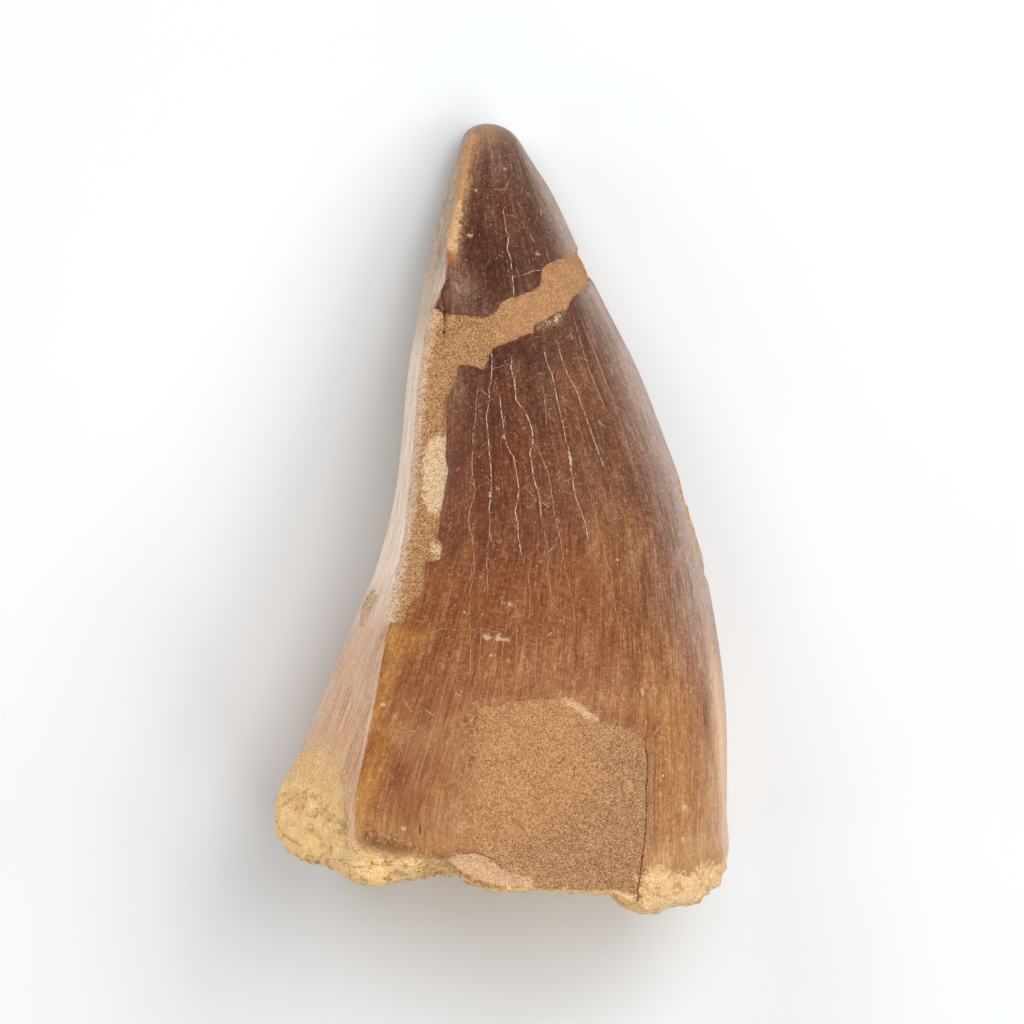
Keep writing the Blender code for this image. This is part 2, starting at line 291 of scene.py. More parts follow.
# Pale hairline cracks in pixels of the photograph: strength, then points down the tooth.
# Neighbours are in separate tables, so that each one is measured on its own.
CRACKS = (
    (1.0, ((503, 208), (506, 228), (509, 237), (507, 248), (511, 258), (512, 271), (514, 292))),
    (1.0, ((490, 342), (492, 354), (492, 370), (491, 383), (488, 390), (490, 398), (486, 418))),
    (1.0, ((486, 418), (488, 430), (489, 448), (491, 465), (491, 495), (489, 509), (490, 521))),
    (0.7, ((490, 521), (489, 538), (488, 547), (487, 561), (488, 590))),
    (1.0, ((512, 360), (511, 369), (515, 382), (516, 400), (526, 412), (532, 429), (533, 441))),
    (0.9, ((533, 441), (530, 451), (532, 464), (534, 479), (538, 492), (540, 503), (541, 517))),
    (0.6, ((541, 517), (544, 531), (549, 556), (547, 574), (549, 579), (551, 598), (552, 608))),
    (1.0, ((544, 349), (547, 363), (552, 374), (555, 389), (558, 404), (562, 421), (566, 442))),
    (1.0, ((566, 442), (570, 451), (570, 462), (572, 476), (575, 496), (583, 517), (588, 538))),
    (0.8, ((574, 320), (581, 342), (588, 367), (596, 386), (602, 400), (608, 414))),
    (0.6, ((455, 386), (454, 405), (452, 426))),
    (0.6, ((632, 559), (636, 572), (639, 587), (640, 594))),
    (0.5, ((593, 513), (597, 525), (603, 546))),
    (0.7, ((603, 546), (607, 563), (612, 580), (613, 596), (617, 617), (620, 631), (620, 646))),
    (0.6, ((470, 600), (470, 626), (471, 649), (470, 680))),
    (0.5, ((503, 640), (502, 660), (503, 697))),
    (0.5, ((537, 640), (535, 665), (536, 690))),
    (0.4, ((572, 636), (571, 655), (573, 672))),
    (0.7, ((404, 700), (409, 707), (414, 712), (421, 710))),
    (0.7, ((398, 732), (408, 731), (416, 729), (424, 727), (430, 720))),
    (0.5, ((388, 712), (394, 722), (392, 734))),
)
SIDE_CRACKS = (
    (0.9, ((515, 276), (524, 275), (531, 271), (539, 270))),
    (0.9, ((500, 396), (501, 408), (503, 422), (504, 436), (508, 448), (514, 457), (516, 470))),
    (1.0, ((516, 470), (519, 488), (518, 497), (515, 511), (518, 525), (518, 535), (522, 559))),
    (0.8, ((478, 389), (476, 403), (476, 418), (473, 432), (473, 448), (472, 464), (473, 479))),
    (0.8, ((473, 479), (476, 490), (473, 500), (469, 513), (468, 525), (472, 534), (473, 547))),
    (0.6, ((473, 547), (475, 570), (472, 584), (470, 591), (470, 600))),
    (0.6, ((533, 441), (542, 457), (549, 475), (551, 489), (553, 504), (555, 521), (560, 537))),
    (0.6, ((560, 537), (562, 552), (565, 569), (570, 588), (573, 607), (574, 619))),
    (0.5, ((552, 441), (556, 452), (559, 464))),
    (1.0, ((556, 339), (561, 356), (567, 373), (577, 391), (584, 411), (591, 431), (604, 468))),
    (0.7, ((582, 320), (589, 342), (596, 355), (603, 376), (610, 391), (619, 417), (635, 472))),
    (0.6, ((540, 373), (543, 386), (545, 404), (547, 426))),
    (0.5, ((579, 445), (582, 459), (586, 479), (590, 492), (593, 513))),
    (0.5, ((493, 369), (504, 366), (512, 365))),
    (0.6, ((528, 573), (530, 591), (530, 605), (530, 619))),
    (0.6, ((430, 632), (444, 628), (462, 629), (479, 628), (497, 631))),
    (0.9, ((497, 188), (502, 188.5), (506, 186), (508, 181))),
    (0.5, ((516, 600), (517, 640), (516, 690))),
    (0.5, ((480, 600), (481, 640), (478, 690))),
    (0.6, ((407, 703), (412, 698), (418, 704))),
    (0.6, ((409, 736), (414, 733), (418, 726), (417, 716))),
    (0.5, ((504, 577), (514, 575))),
    (0.5, ((475, 489), (484, 484))),
    (0.5, ((400, 742), (404, 752), (398, 762))),
)
DUSTY_CRACKS = (
    (1.0, ((568, 449), (570, 456), (571, 463), (571, 468))),
    (1.0, ((489, 492), (490, 497))),
)

# Dark cracks and crevices, the same way
DARK_CRACKS = (
    (1.4, ((449, 279), (445, 286), (441.5, 294), (443, 304), (443.5, 318), (442.5, 335))),
    (0.6, ((385, 629), (398, 628), (410, 630), (425, 634), (434, 634))),
    (1.0, ((645, 738), (648, 756), (648, 775), (647, 785), (647, 808))),
    (1.1, ((647, 808), (646, 836), (642, 861), (637, 889), (634, 903))),
    (0.5, ((299, 846), (318, 853), (340, 857), (360, 859), (380, 862))),
    (0.5, ((380, 862), (401, 863), (420, 863), (440, 862))),
    (0.9, ((456, 848), (465, 851), (475, 849), (484, 852), (497, 858), (502, 865))),
    (0.9, ((555, 762), (561, 759), (566, 755))),
    (0.9, ((577, 761), (575, 768), (574, 777))),
    (0.3, ((600, 826), (614, 814), (630, 806), (646, 801))),
    (1.4, ((419.5, 824), (420.5, 830))),
    (0.5, ((278, 822), (286, 812), (294, 806))),
    (0.4, ((606, 440), (614, 480), (622, 512), (629, 545))),
    (0.4, ((650, 545), (657, 590), (662, 640))),
    (0.3, ((588, 560), (596, 600), (600, 640))),
    (0.4, ((602, 720), (620, 724), (634, 727), (643, 734))),
)
DARK_SIDE_CRACKS = (
    (0.5, ((384, 638), (396, 641), (412, 643), (425, 640))),
    (0.45, ((352, 869), (368, 867), (384, 874), (398, 870), (420, 868))),
    (0.4, ((624, 490), (630, 520), (637, 552), (644, 590))),
    (0.3, ((655, 520), (664, 570), (670, 620))),
    (0.3, ((531, 812), (544, 806), (552, 802))),
    (0.5, ((460, 855), (468, 858), (480, 857), (488, 864))),
    # Painted shadow along the repair's lower edge, over the crumbly spot
    (0.6, ((534, 331), (535, 324), (541, 321), (549, 317))),
)

# Made-up cracks of the hidden face: the angles they run at, the heights they start from, their
# length, the lowest height, the step between points, how much they wander, and their strength
HIDDEN_CRACK_SEED = 11
HIDDEN_CRACK_TURNS = np.arange(200, 344, 5.5)
HIDDEN_CRACK_STARTS = (-6, 16)
HIDDEN_CRACK_LENGTHS = (6, 22)
HIDDEN_CRACK_FOOT = -22
HIDDEN_CRACK_STEP = 1.3
HIDDEN_CRACK_WANDER = 0.45
HIDDEN_CRACK_STRENGTHS = (0.4, 0.95)

# Fine scratches in the upper face's enamel: how many, between which angles and heights, the
# direction and bend in degrees with their spreads, half their length, and their strength
SCRATCH_SEED = 5
SCRATCHES = 170
SCRATCH_ANGLES = (15, 128)
SCRATCH_HEIGHTS = (-21, 28)
SCRATCH_WAY = (90, 40)
SCRATCH_BEND = (0, 18)
SCRATCH_REACHES = (0.08, 0.30)
SCRATCH_STRENGTHS = (0.3, 0.9)
DEGREES_A_MILLIMETRE = 4.5

# Small pale spots in the enamel: pixel and radius in pixels
PALE_SPOTS = (
    (487, 636, 4), (499, 637, 4), (508, 640, 2.5), (493, 654, 3), (511, 605, 3), (502, 600, 3),
    (523, 613, 2), (497, 486, 1.5), (499, 496, 1.5), (545, 525, 1.5), (503, 437, 2.5),
    (541, 376, 2.5), (505, 168, 1.5), (476, 190, 2), (470, 236, 2), (537, 253, 2.5),
    (518, 175, 1), (617, 560, 2), (642, 693, 2), (668, 702, 2), (686, 716, 2.5), (676, 748, 1.5),
    (641, 688, 2), (696, 764, 1.5), (548, 160, 1), (465, 612, 2), (457, 596, 2.5), (482, 615, 2.5),
    (383, 706, 3), (396, 717, 3), (450, 670, 1.5), (421, 700, 2), (560, 640, 1.5), (684, 806, 4),
    (682, 838, 3), (659, 792, 3), (701, 786, 2), (690, 690, 1.5), (652, 700, 1.5), (666, 758, 2),
    (472, 720, 3), (462, 690, 2), (405, 826, 3), (411, 842, 2), (394, 790, 1.5),
    (557, 318, 3.5), (551, 322, 2), (561, 314, 2), (690, 732, 1.5), (664, 692, 1.5),
    (676, 724, 1.5), (698, 742, 1), (662, 774, 1.5), (688, 770, 1), (671, 812, 1.5),
)

# Soft tones of the enamel on the upper face: pixel, reach across and along, colour and strength
TONES = (
    (486, 119, 40, 13, "wear_and_sheen_rim", 0.9), (484, 134, 26, 12, "dusty", 0.75),
    (508, 164, 30, 22, "mauve_light", 0.8), (474, 152, 9, 20, "wear", 0.5),
    (466, 296, 13, 13, "dusty", 0.65),
    (505, 205, 18, 44, "chestnut", 0.5), (480, 246, 15, 34, "umber", 0.9),
    (490, 270, 15, 20, "umber", 0.8), (463, 282, 10, 18, "dusty", 0.42),
    (480, 300, 26, 10, "plum", 0.6), (520, 262, 20, 26, "plum", 0.4),
    (515, 355, 44, 18, "plum", 1.0), (496, 372, 24, 16, "plum", 0.6),
    (458, 392, 10, 22, "dusty", 0.32), (492, 470, 34, 100, "rust", 0.9),
    (502, 418, 26, 44, "umber", 0.5), (540, 400, 20, 30, "plum", 0.4),
    (478, 440, 17, 50, "umber", 0.4), (520, 480, 12, 70, "rust", 0.6),
    (500, 545, 30, 40, "rust", 0.5), (602, 420, 44, 90, "fawn", 0.7),
    (575, 450, 22, 60, "fawn", 0.5), (545, 505, 12, 60, "chestnut", 0.7),
    (624, 520, 18, 24, "tan", 0.25), (640, 560, 30, 60, "fawn", 0.6),
    (600, 570, 36, 40, "sienna", 0.6), (660, 610, 30, 60, "fawn", 0.5),
    (620, 640, 40, 30, "amber", 0.7), (440, 600, 34, 40, "sienna", 0.8),
    (400, 650, 24, 22, "sienna", 0.8), (450, 665, 34, 26, "amber", 0.6),
    (522, 668, 50, 24, "tan", 0.4), (585, 664, 44, 24, "amber", 0.6),
    (600, 700, 70, 20, "tan", 0.5), (424, 738, 30, 18, "pale_tan", 0.5),
    (392, 750, 14, 20, "rust", 0.3), (444, 790, 22, 60, "tan", 0.8),
    (414, 836, 50, 24, "pale_tan", 0.6), (378, 700, 11, 66, "ochre", 0.8),
    (640, 555, 20, 40, "tan", 0.3), (600, 545, 10, 60, "tan", 0.3),
    (368, 784, 12, 60, "ochre", 0.9), (390, 645, 18, 14, "ochre", 0.6),
    (680, 770, 46, 100, "tan", 0.95), (664, 690, 40, 44, "tan", 0.6),
    (695, 846, 60, 22, "pale_tan", 0.7), (660, 856, 30, 12, "pale_tan", 0.6),
    # Tones in the pale rim colour along the right edge are painted reflection
    (722, 760, 18, 100, "wear_and_sheen_rim", 1.0), (712, 800, 26, 50, "pale_tan", 0.7),
    (714, 690, 16, 60, "wear_and_sheen_rim", 0.7),
)
# The enamel's tone down the tooth: height in millimetres and colour
TONE_LADDER = (
    (30.0, "mauve_light"), (26.0, "mauve"), (15.0, "mauve"), (11.0, "chestnut"), (2.0, "chestnut"),
    (-5.0, "sienna"), (-18.0, "sienna"), (-25.0, "amber"), (-30.0, "tan"),
)
# Bands of painted reflection down the convex edge: the angles between which each fades in and
# out, the heights between which it fades in, its colour and strength
EDGE_BANDS = (
    ((52, 10), (-60, -25), (-16, -4), "pale_and_sheen", 0.85),
    ((24, 2), (-60, -30), (-6, -14), "wear_and_sheen_rim", 0.75),
)
# Patches on the underside: the angles between which they fade in, then out, the waves that make
# them and how far off these are read, where they set in, and how strong the red and tan ones are
UNDER_START, UNDER_END = (195, 225), (335, 360)
UNDER_SHIFT = 9.0
UNDER_WAVES = ((0.09, 1.0), (0.2, 0.5))
UNDER_EDGE = (0.05, 0.5)
UNDER_RUST, UNDER_TAN = 0.7, 0.6
# The tone ladder of the face beyond the left keel. Its pale and grey colours are partly painted sheen.
FACET_LADDER = (
    (30.0, "facet_grey_and_sheen"), (15.5, "facet_grey_and_sheen"), (11.5, "facet_pale_and_sheen"), (-4.0, "facet_pale_and_sheen"),
    (-9.0, "facet"), (-16.0, "facet_low"), (-24.0, "facet_low"),
)

# Weathered surfaces in the order they cover one another: field, softness and unevenness of the
# edge in millimetres, and the colours of the body, the dark grains and the pale grains
SURFACES = (
    ("bare", 0.30, 1.4, "dentine", "dentine_dark", "dentine_light"),
    ("grime", 2.20, 4.5, "dentine_dim", "grime_dark", "dentine_light"),
    # The crumbly spot's dark body is painted shadow under the repair's lower edge
    ("crumbly", 0.30, 1.6, "grime_and_shadow", "umber", "dust_grey"),
    ("sand", 0.05, 0.4, "sand", "sand_dark", "sand_light"),
    ("pink_sand", 0.80, 3.0, "sand_pink", "sand", "sand_light"),
    ("pale_sand", 0.20, 1.6, "sand_pale", "sand", "chip"),
    ("wear", 0.40, 1.4, "wear", "sand", "sand_light"),
    ("tip_lumps", 0.30, 1.6, "sand_light", "wear", "sand_pale"),
    ("side_wear", 0.25, 1.4, "dust_grey", "dentine_dark", "chip"),
    ("facet_crust", 1.00, 4.5, "facet_sand", "crust_deep", "crust_light"),
    ("chip", 0.15, 0.8, "dust_grey", "dentine", "sand_pale"),
    ("crust", 0.45, 2.4, "crust", "crust_deep", "crust_light"),
    ("right_crust", 0.60, 2.8, "crust_pink", "crust_deep", "crust_light"),
    ("smooth_crust", 0.50, 2.4, "crust_cream", "crust", "crust_cream"),
)
# Surfaces that show only within another
WITHIN = {"grime": "bare", "pink_sand": "sand", "pale_sand": "sand", "right_crust": "crust",
          "tip_lumps": "wear", "smooth_crust": "crust"}
# Fine relief. Steps down where a surface is worn or broken: field, start and end of the slope
# and depth, in millimetres
STEPS = (
    ("chip", -0.1, 0.7, 0.35), ("side_wear", -0.1, 0.4, 0.15), ("crumbly", -0.1, 0.4, 0.25),
)
# Grooves along the cracks: field, depth and half width
GROOVES = (
    ("dark", 0.20, 0.20), ("side_dark", 0.20, 0.20), ("crack", 0.05, 0.12),
    ("side_crack", 0.05, 0.12), ("dusty", 0.08, 0.15),
)
# Where relief sets in and where it is full, by the distance inside a surface in millimetres.
# The bare patch's step also fades in from the left, by the distance from the tooth's middle.
RISES = {
    "smooth": (-0.3, 0.3), "sand_step": (-0.15, 0.2), "bare_step": (-0.15, 0.3),
    "bare_left": (-5, 1), "sand": (0, 0.5), "bare": (0, 0.6), "wear": (-0.1, 0.25),
    "crust": (-0.2, 0.9), "side": (0, 0.5),
}
# Those two steps as shares of the enamel's thickness, and the dentine's grain as a share of sand's
SAND_STEP, BARE_STEP = 0.75, 0.6
BARE_GRAIN = 0.6
# Roughness of the weathered surfaces: waves a millimetre, and how high they stand
SAND_WAVES = ((0.45, 0.10), (1.1, 0.08), (2.3, 0.05))
WEAR_WAVES = ((0.9, 0.30), (1.9, 0.16))
CRUST_WAVES = ((0.55, 0.40), (1.2, 0.30), (2.3, 0.14))
SIDE_WAVES = ((1.0, 0.2), (2.2, 0.12))
CRUST_SHIFT = 20.0        # how far off the crust's waves are read, so that they aren't the sand's
# The tip's wear is lumpy below these heights
LUMPY_WEAR = (26, 20)
# Wrinkles: the radius of the round that their noise is read on, the millimetres to one unit of it
# down the tooth, the waves of the fine and the slow ones, and the height of the slow ones
WRINKLE_ROUND = 12
WRINKLE_ALONG = 9
FINE_WRINKLES, SLOW_WRINKLES = 1.6, 0.7
SLOW_WRINKLE = 0.03
# Vertices closer than this are one, in millimetres
SAME_PLACE = 0.0001

# Loose grains stick here: field, start and end of its rise in millimetres, and how likely
CRUMB_PLACES = (
    ("crust", 0.0, 0.5, 1.0), ("broken", 0.0, 0.4, 0.5), ("sand", 0.1, 0.4, 0.25),
    ("facet_crust", 0.0, 0.5, 0.5),
)
# The same for the lumpy part of the tip's wear
CRUMB_WEAR = (0.0, 0.2, 0.6)
CRUMB_SEED = 3
# Their radius and stretch as shares of the crumb size, how much smaller they are off the crust,
# how deep they sit, and how far they turn, in radians
CRUMB_RADIUS = (0.2, 0.5)
CRUMB_STRETCH = (0.7, 1.2)
CRUMB_OFF_CRUST = 0.6
CRUMB_SUNK = 0.35
CRUMB_TURN = 6.28

# Noises of the skin's material, by millimetre: scale, detail and roughness. Their mean is 0.5.
MEAN = 0.5
SOLID_NOISES = {
    "edge": (2.6, 3.0, 0.62), "grain": (8.0, 2.0, 0.75), "cloud": (0.45, 2.0, 0.6),
    "lumps": (1.2, 2.0, 0.65),
}
# Noises drawn out along the tooth: scale round it and along it, detail and roughness
STRAND_NOISES = {
    "broad": (0.8, 0.24, 3.0, 0.6), "stroke": (4.0, 1.0, 2.0, 0.65),
    "hair": (7.0, 0.24, 1.0, 0.5), "contour": (1.3, 0.075, 2.0, 0.6),
}
# How much of the finest noise, about its mean, goes into each of these
PRICKLE = {"uneven": 0.5, "speckled": 0.7, "dusty": 0.25, "scratch": 0.05}
# How much each noise darkens and reddens the enamel, and its height there in millimetres
ENAMEL_DEPTH = {"broad": 0.75, "stroke": 0.50, "edge": 0.90, "grain": 1.20, "hair": 0.70}
ENAMEL_HEIGHT = {"stroke": 0.10, "hair": 0.05, "grain": 0.04, "edge": 0.05}
# Stains and faces with an uneven edge: field, softness and unevenness in millimetres
STAINS = {
    "beyond": (0.12, 0.35), "olive": (0.5, 0.9), "mottle": (0.9, 2.4), "stain": (0.6, 3.4),
    "rust": (0.3, 1.2),
}
# Marks on the side facet: noise or mask, the values between which it sets in, strength, colour
# Pale grain marks are painted glints, pale tip streaks painted sheen, the pale keel rim a painted
# highlight, and the keel's shade painted shade
FACET_MARKS = (
    ("hair", 0.48, 0.64, 0.46, "facet_line_and_shade"), ("grain", 0.44, 0.34, 0.55, "facet_line_and_shade"),
    ("grain", 0.55, 0.66, 0.60, "chip"), ("keel_shade", 0.0, 1.0, 0.22, "facet_line_and_shade"),
    ("tip_dark", 0.0, 1.0, 0.75, "grime_and_shadow"), ("tip_sheen", 0.0, 1.0, 0.70, "chip"),
    ("keel_highlight", 0.0, 1.0, 0.40, "facet_pale_and_sheen"),
)
# Grains of the cemented surfaces, the same way, and the heights of their parts
GRIT_MARKS = (
    ("patches", 0.45, 0.75, 0.45, "Pale"), ("patches", 0.48, 0.28, 0.25, "Dark"),
    ("speckle", 0.52, 0.60, 1.00, "Pale"), ("speckle", 0.48, 0.40, 1.00, "Dark"),
    ("single", 0.72, 0.86, 0.30, "Pale"), ("single", 0.24, 0.12, 0.35, "Dark"),
    # The hollow mark darkens the gaps between grains, where the relief is lowest: painted shade
    ("hollow", 0.45, 0.75, 0.18, "Dark"),
)
GRIT_HEIGHT = {"hollow": -0.6, "speckle": 0.8, "patches": 1.0}
# Noises and cells of the grit, and cells of the enamel's specks, by millimetre
GRIT_NOISES = {"patches": (0.8, 2.0, 0.6), "speckle": (9.0, 2.0, 0.8)}
GRIT_CELLS, SPECK_CELLS = 6.0, 3.0
# Where each part of the material sets in and where it is full, then its amount at both where
# that isn't 0 and 1
SETS_IN = {
    # By height up the tooth or above the broken edge, in millimetres
    "low_facet": (-7.0, -10.0), "keel_highlight_foot": (-22.0, -18.5), "tip": (16.0, 21.0),
    "convex_foot": (-20.0, -7.0, 0.5, 1.0), "seam_rise": (3.2, 1.6),
    # By distance round the tooth, or across it from its middle
    "convex": (18.0, 9.0), "underside": (38.0, 44.0), "bare_left": (-3.0, 1.5, 5.0, 1.0),
    "seam_side": (2.0, -2.0, 0.3, 1.0),
    # By distance inside an outline, or from the keel or a line
    "keel_highlight": (0.55, 0.05), "keel_shade": (2.4, 0.8), "pale_and_sheen": (-0.8, 0.3, 0.0, 0.85),
    "crusty": (-0.1, 0.3), "stone": (6.4, 7.4), "rough": (-0.12, 0.12), "dusty": (0.11, 0.04),
    "spots": (-0.05, 0.12), "line_end": (0.26, 0.18),
    # By a noise, another amount, or the distance across a line in half widths
    "keel_rim_gaps": (0.30, 0.55, 0.3, 1.0), "tip_dark": (0.56, 0.44), "tip_sheen": (0.52, 0.64),
    "mottled": (0.40, 0.58), "wrinkle_shade": (0.045, 0.012), "wrinkle_clouds": (0.38, 0.52),
    "specks": (0.16, 0.07), "speck_clouds": (0.38, 0.54), "covered": (0.0, 0.15),
    "hollows": (0.47, 0.35), "seams": (0.20, 0.05), "seam_clouds": (0.40, 0.48),
    "breakup": (0.38, 0.58), "dashes": (0.40, 0.56), "satin": (0.3, 0.7, 0.26, 0.42),
    "line": (1.3, 0.5),
}
# How strongly each part covers what lies under it
STRENGTH = {
    "olive": 0.5, "mottle": 0.5, "wrinkle_shade": 0.40, "specks": 0.8, "hollows": 0.55, "seams": 0.60,
    "stain": 0.5, "rust": 0.7, "shadow": 0.4, "hairline": 0.9, "scratch": 0.7, "spots": 0.65,
    "dark": 0.8, "smooth_crust": 0.8,
}
# How far the noise moves the edges of what has no outline of its own, in millimetres
UNEVEN = {"pale_and_sheen": 1.5, "rough": 0.8, "spots": 0.6}
# How much the noise's wobble deepens the crust's hollows
HOLLOW_WOBBLE = 0.6
# The crust's seams: how many to a millimetre, and how much the lumps bend them
SEAMS = 1.7
SEAM_BEND = 2.6
# How far the noises move a crack aside and how far its shaded side lies from its pale side, in
# millimetres
CRACK_WOBBLE, CRACK_PRICKLE = 0.16, 0.08
SHADOW_SHIFT = 0.075
# Width of the dark cracks against the hairlines, and what is added to a width to divide by it
DARK_WIDTH = 1.7
LEAST_WIDTH = 0.001
# Height of the grit's bumps and of the uneven noise in it, everywhere and more on the crust
GRIT_RELIEF = ((0.05, 0.04), (0.05, 0.12))
# Roughness of sand and crust, and how glossy the skin is
DRY = 0.85
SHEEN = 0.28
# The same for the floor, the number of its columns, its reach either way from the middle and its
# gap below the tooth, in metres. Then the height at which the picture has its true scale, as a
# share of the tooth's depth.
FLOOR_ROUGHNESS, FLOOR_SHEEN = 0.9, 0.1
FLOOR_GRID = 4
FLOOR_REACH = 1.5
FLOOR_GAP = 0.00005
TRUE_HEIGHT = 0.4


def colour(name, description, red, green, blue):
    """A colour that the user can change, stored as linear light."""
    return bpy.props.FloatVectorProperty(
        name=name, description=description, subtype="COLOR", size=3, min=0.0, max=1.0,
        default=(red, green, blue),
    )


def length(name, description, millimetres):
    return bpy.props.FloatProperty(
        name=name, description=description, unit="LENGTH", precision=5, min=0.0,
        default=millimetres * MM,
    )


class ToothSizes(bpy.types.PropertyGroup):
    meridians: bpy.props.IntProperty(
        name="Meridians", description="Columns of the skin's grid round the tooth",
        default=400, min=80, step=40,
    )
    rings: bpy.props.IntProperty(
        name="Rings", description="Rows of the skin's grid, base to tip", default=240, min=60, step=20,
    )
    enamel: length("Enamel", "How thick the enamel is where it has broken off", 0.28)
    wrinkle: length("Wrinkle height", "Height of the enamel's long wrinkles", 0.022)
    crack: length("Crack width", "Width of the widest hairline crack", 0.07)
    crumb: length("Crumb", "Size of the largest crumb on the base", 0.34)
    crumbs: bpy.props.IntProperty(
        name="Crumbs", description="Loose grains stuck to the base and the repair",
        default=900, min=0,
    )


class ToothColours(bpy.types.PropertyGroup):
    mauve: colour("Mauve enamel", "Near the tip", 0.130, 0.045, 0.022)
    mauve_light: colour("Light mauve enamel", "At the tip", 0.210, 0.098, 0.062)
    plum: colour("Plum enamel", "Dark enamel beside the repair", 0.072, 0.024, 0.012)
    umber: colour("Umber enamel", "The darkest enamel", 0.078, 0.016, 0.005)
    rust: colour("Rust enamel", "The red brown left of the crown", 0.168, 0.037, 0.007)
    chestnut: colour("Chestnut enamel", "The middle of the crown", 0.170, 0.050, 0.019)
    fawn: colour("Fawn enamel", "The right of the crown", 0.218, 0.080, 0.035)
    sienna: colour("Sienna enamel", "The lower crown", 0.265, 0.079, 0.016)
    amber: colour("Amber enamel", "Lower still, and more yellow", 0.300, 0.102, 0.028)
    ochre: colour("Ochre enamel", "Along the left keel", 0.510, 0.215, 0.042)
    tan: colour("Tan enamel", "Near the base", 0.470, 0.205, 0.066)
    pale_tan: colour("Pale tan enamel", "Just above the crust", 0.660, 0.350, 0.140)
    # Painted reflection along the low convex edge, and wear at the tip's apex
    wear_and_sheen_rim: colour("Pale edge", "Along the low convex edge", 0.880, 0.540, 0.300)
    dusty: colour("Dusty enamel", "Worn and dusty patches", 0.430, 0.245, 0.145)
    # Painted reflection along the convex edge
    pale_and_sheen: colour("Bleached enamel", "Along the convex edge", 0.540, 0.380, 0.300)
    facet: colour("Side facet", "The satin face beyond the left keel", 0.730, 0.440, 0.300)
    # Pale facet colour, partly painted sheen
    facet_pale_and_sheen: colour("Pale facet", "The facet beside the repair", 0.970, 0.760, 0.610)
    facet_low: colour("Low facet", "The facet near the base", 0.700, 0.375, 0.195)
    # Grey facet colour by the tip, partly painted sheen
    facet_grey_and_sheen: colour("Grey facet", "The facet beside the tip", 0.640, 0.480, 0.360)
    # Fine dark facet lines, and also the painted shade beside the keel
    facet_line_and_shade: colour("Facet lines", "Fine dark lines down the facet", 0.380, 0.230, 0.145)
    facet_sand: colour("Facet crust", "Creamy crust low on the facet", 0.640, 0.340, 0.130)
    sand: colour("Repair sand", "The sandy repair", 0.470, 0.215, 0.078)
    sand_pink: colour("Pink sand", "The repair's pinker right end", 0.350, 0.155, 0.074)
    sand_light: colour("Light sand grains", "Light grains in the repair", 0.720, 0.430, 0.210)
    sand_pale: colour("Pale sand", "The palest stretch of the repair", 0.860, 0.600, 0.350)
    sand_dark: colour("Dark sand grains", "Dark grains in the repair", 0.190, 0.075, 0.024)
    dentine: colour("Bare dentine", "Where the enamel is lost", 0.510, 0.240, 0.094)
    dentine_light: colour("Light dentine", "Pale dust on the dentine", 0.700, 0.405, 0.200)
    dentine_dark: colour("Dark dentine", "Darker grains of the dentine", 0.270, 0.115, 0.044)
    dentine_dim: colour("Dim dentine", "The darker right side of the bare patch", 0.370, 0.180, 0.075)
    grime_dark: colour("Grime", "Dark grains on the bare patch", 0.200, 0.090, 0.038)
    # Painted shadow in the hollow under the repair's edge, and dark streaks by the tip
    grime_and_shadow: colour("Grimy hollow", "The dark hollow beside the repair", 0.160, 0.085, 0.040)
    dust_grey: colour("Crumbled stone", "Crumbled grey surfaces", 0.640, 0.410, 0.250)
    # Fresh chip colour, which also paints the side facet's glints and the tip's streaks of sheen
    chip: colour("Fresh chip", "Pale broken surfaces", 0.860, 0.670, 0.480)
    crust: colour("Base crust", "Cream crust round the base", 1.000, 0.640, 0.260)
    crust_light: colour("Light crust", "Pale lumps in the crust", 1.000, 0.800, 0.500)
    crust_deep: colour("Deep crust", "Darker grains of the crust", 0.820, 0.460, 0.150)
    crust_cream: colour("Cream crust", "The crust's smooth left end", 1.000, 0.680, 0.330)
    crust_pink: colour("Pink crust", "The crust's paler right end", 0.860, 0.550, 0.290)
    crust_ochre: colour("Crust hollows", "Ochre in the hollows of the crust", 0.540, 0.220, 0.050)
    matrix: colour("Base stone", "Stone that fills the pulp hollow", 0.620, 0.430, 0.240)
    wear: colour("Worn keel", "Tan wear along the tip's keel", 0.560, 0.275, 0.110)
    wear_red: colour("Red wear", "Where the wear is iron stained", 0.340, 0.100, 0.022)
    # Pale dust in the hairlines, which also paints the glints among the enamel's specks
    hairline: colour("Hairline", "Pale dust in the hairline cracks", 0.760, 0.560, 0.400)
    # Dark cracks, and painted shade beside the hairlines and in the wrinkles
    crevice_and_shade: colour("Crevice", "Dark cracks", 0.060, 0.022, 0.008)


class StudioSettings(bpy.types.PropertyGroup):
    lens: bpy.props.FloatProperty(
        name="Lens", description="Focal length", unit="CAMERA", default=900.0, min=20.0,
    )
    reach: length("Light distance", "From the tooth to each light", 450.0)
    lamp: length("Light width", "Diameter of each soft light", 240.0)
    power: bpy.props.FloatProperty(
        name="Light power", description="Brightens or dims all the lights together",
        default=1.0, min=0.0,
    )
    surround: bpy.props.FloatProperty(
        name="Surround", description="Brightness of the white surroundings", default=0.03, min=0.0,
    )
    floor: colour("Floor", "The pale floor", 0.90, 0.925, 0.94)


# Soft lights of the tent: name, direction round from the right, height in degrees, and watts
LAMPS = (
    ("key", 45, 48, 0.60), ("right", 0, 48, 0.49), ("far left", 135, 48, 0.42),
    ("near right", 315, 48, 0.38), ("near", 270, 22, 0.35), ("overhead", 45, 74, 0.57),
    ("left", 160, 16, 0.45), ("near left", 200, 16, 0.30),
)


# Curves and distances

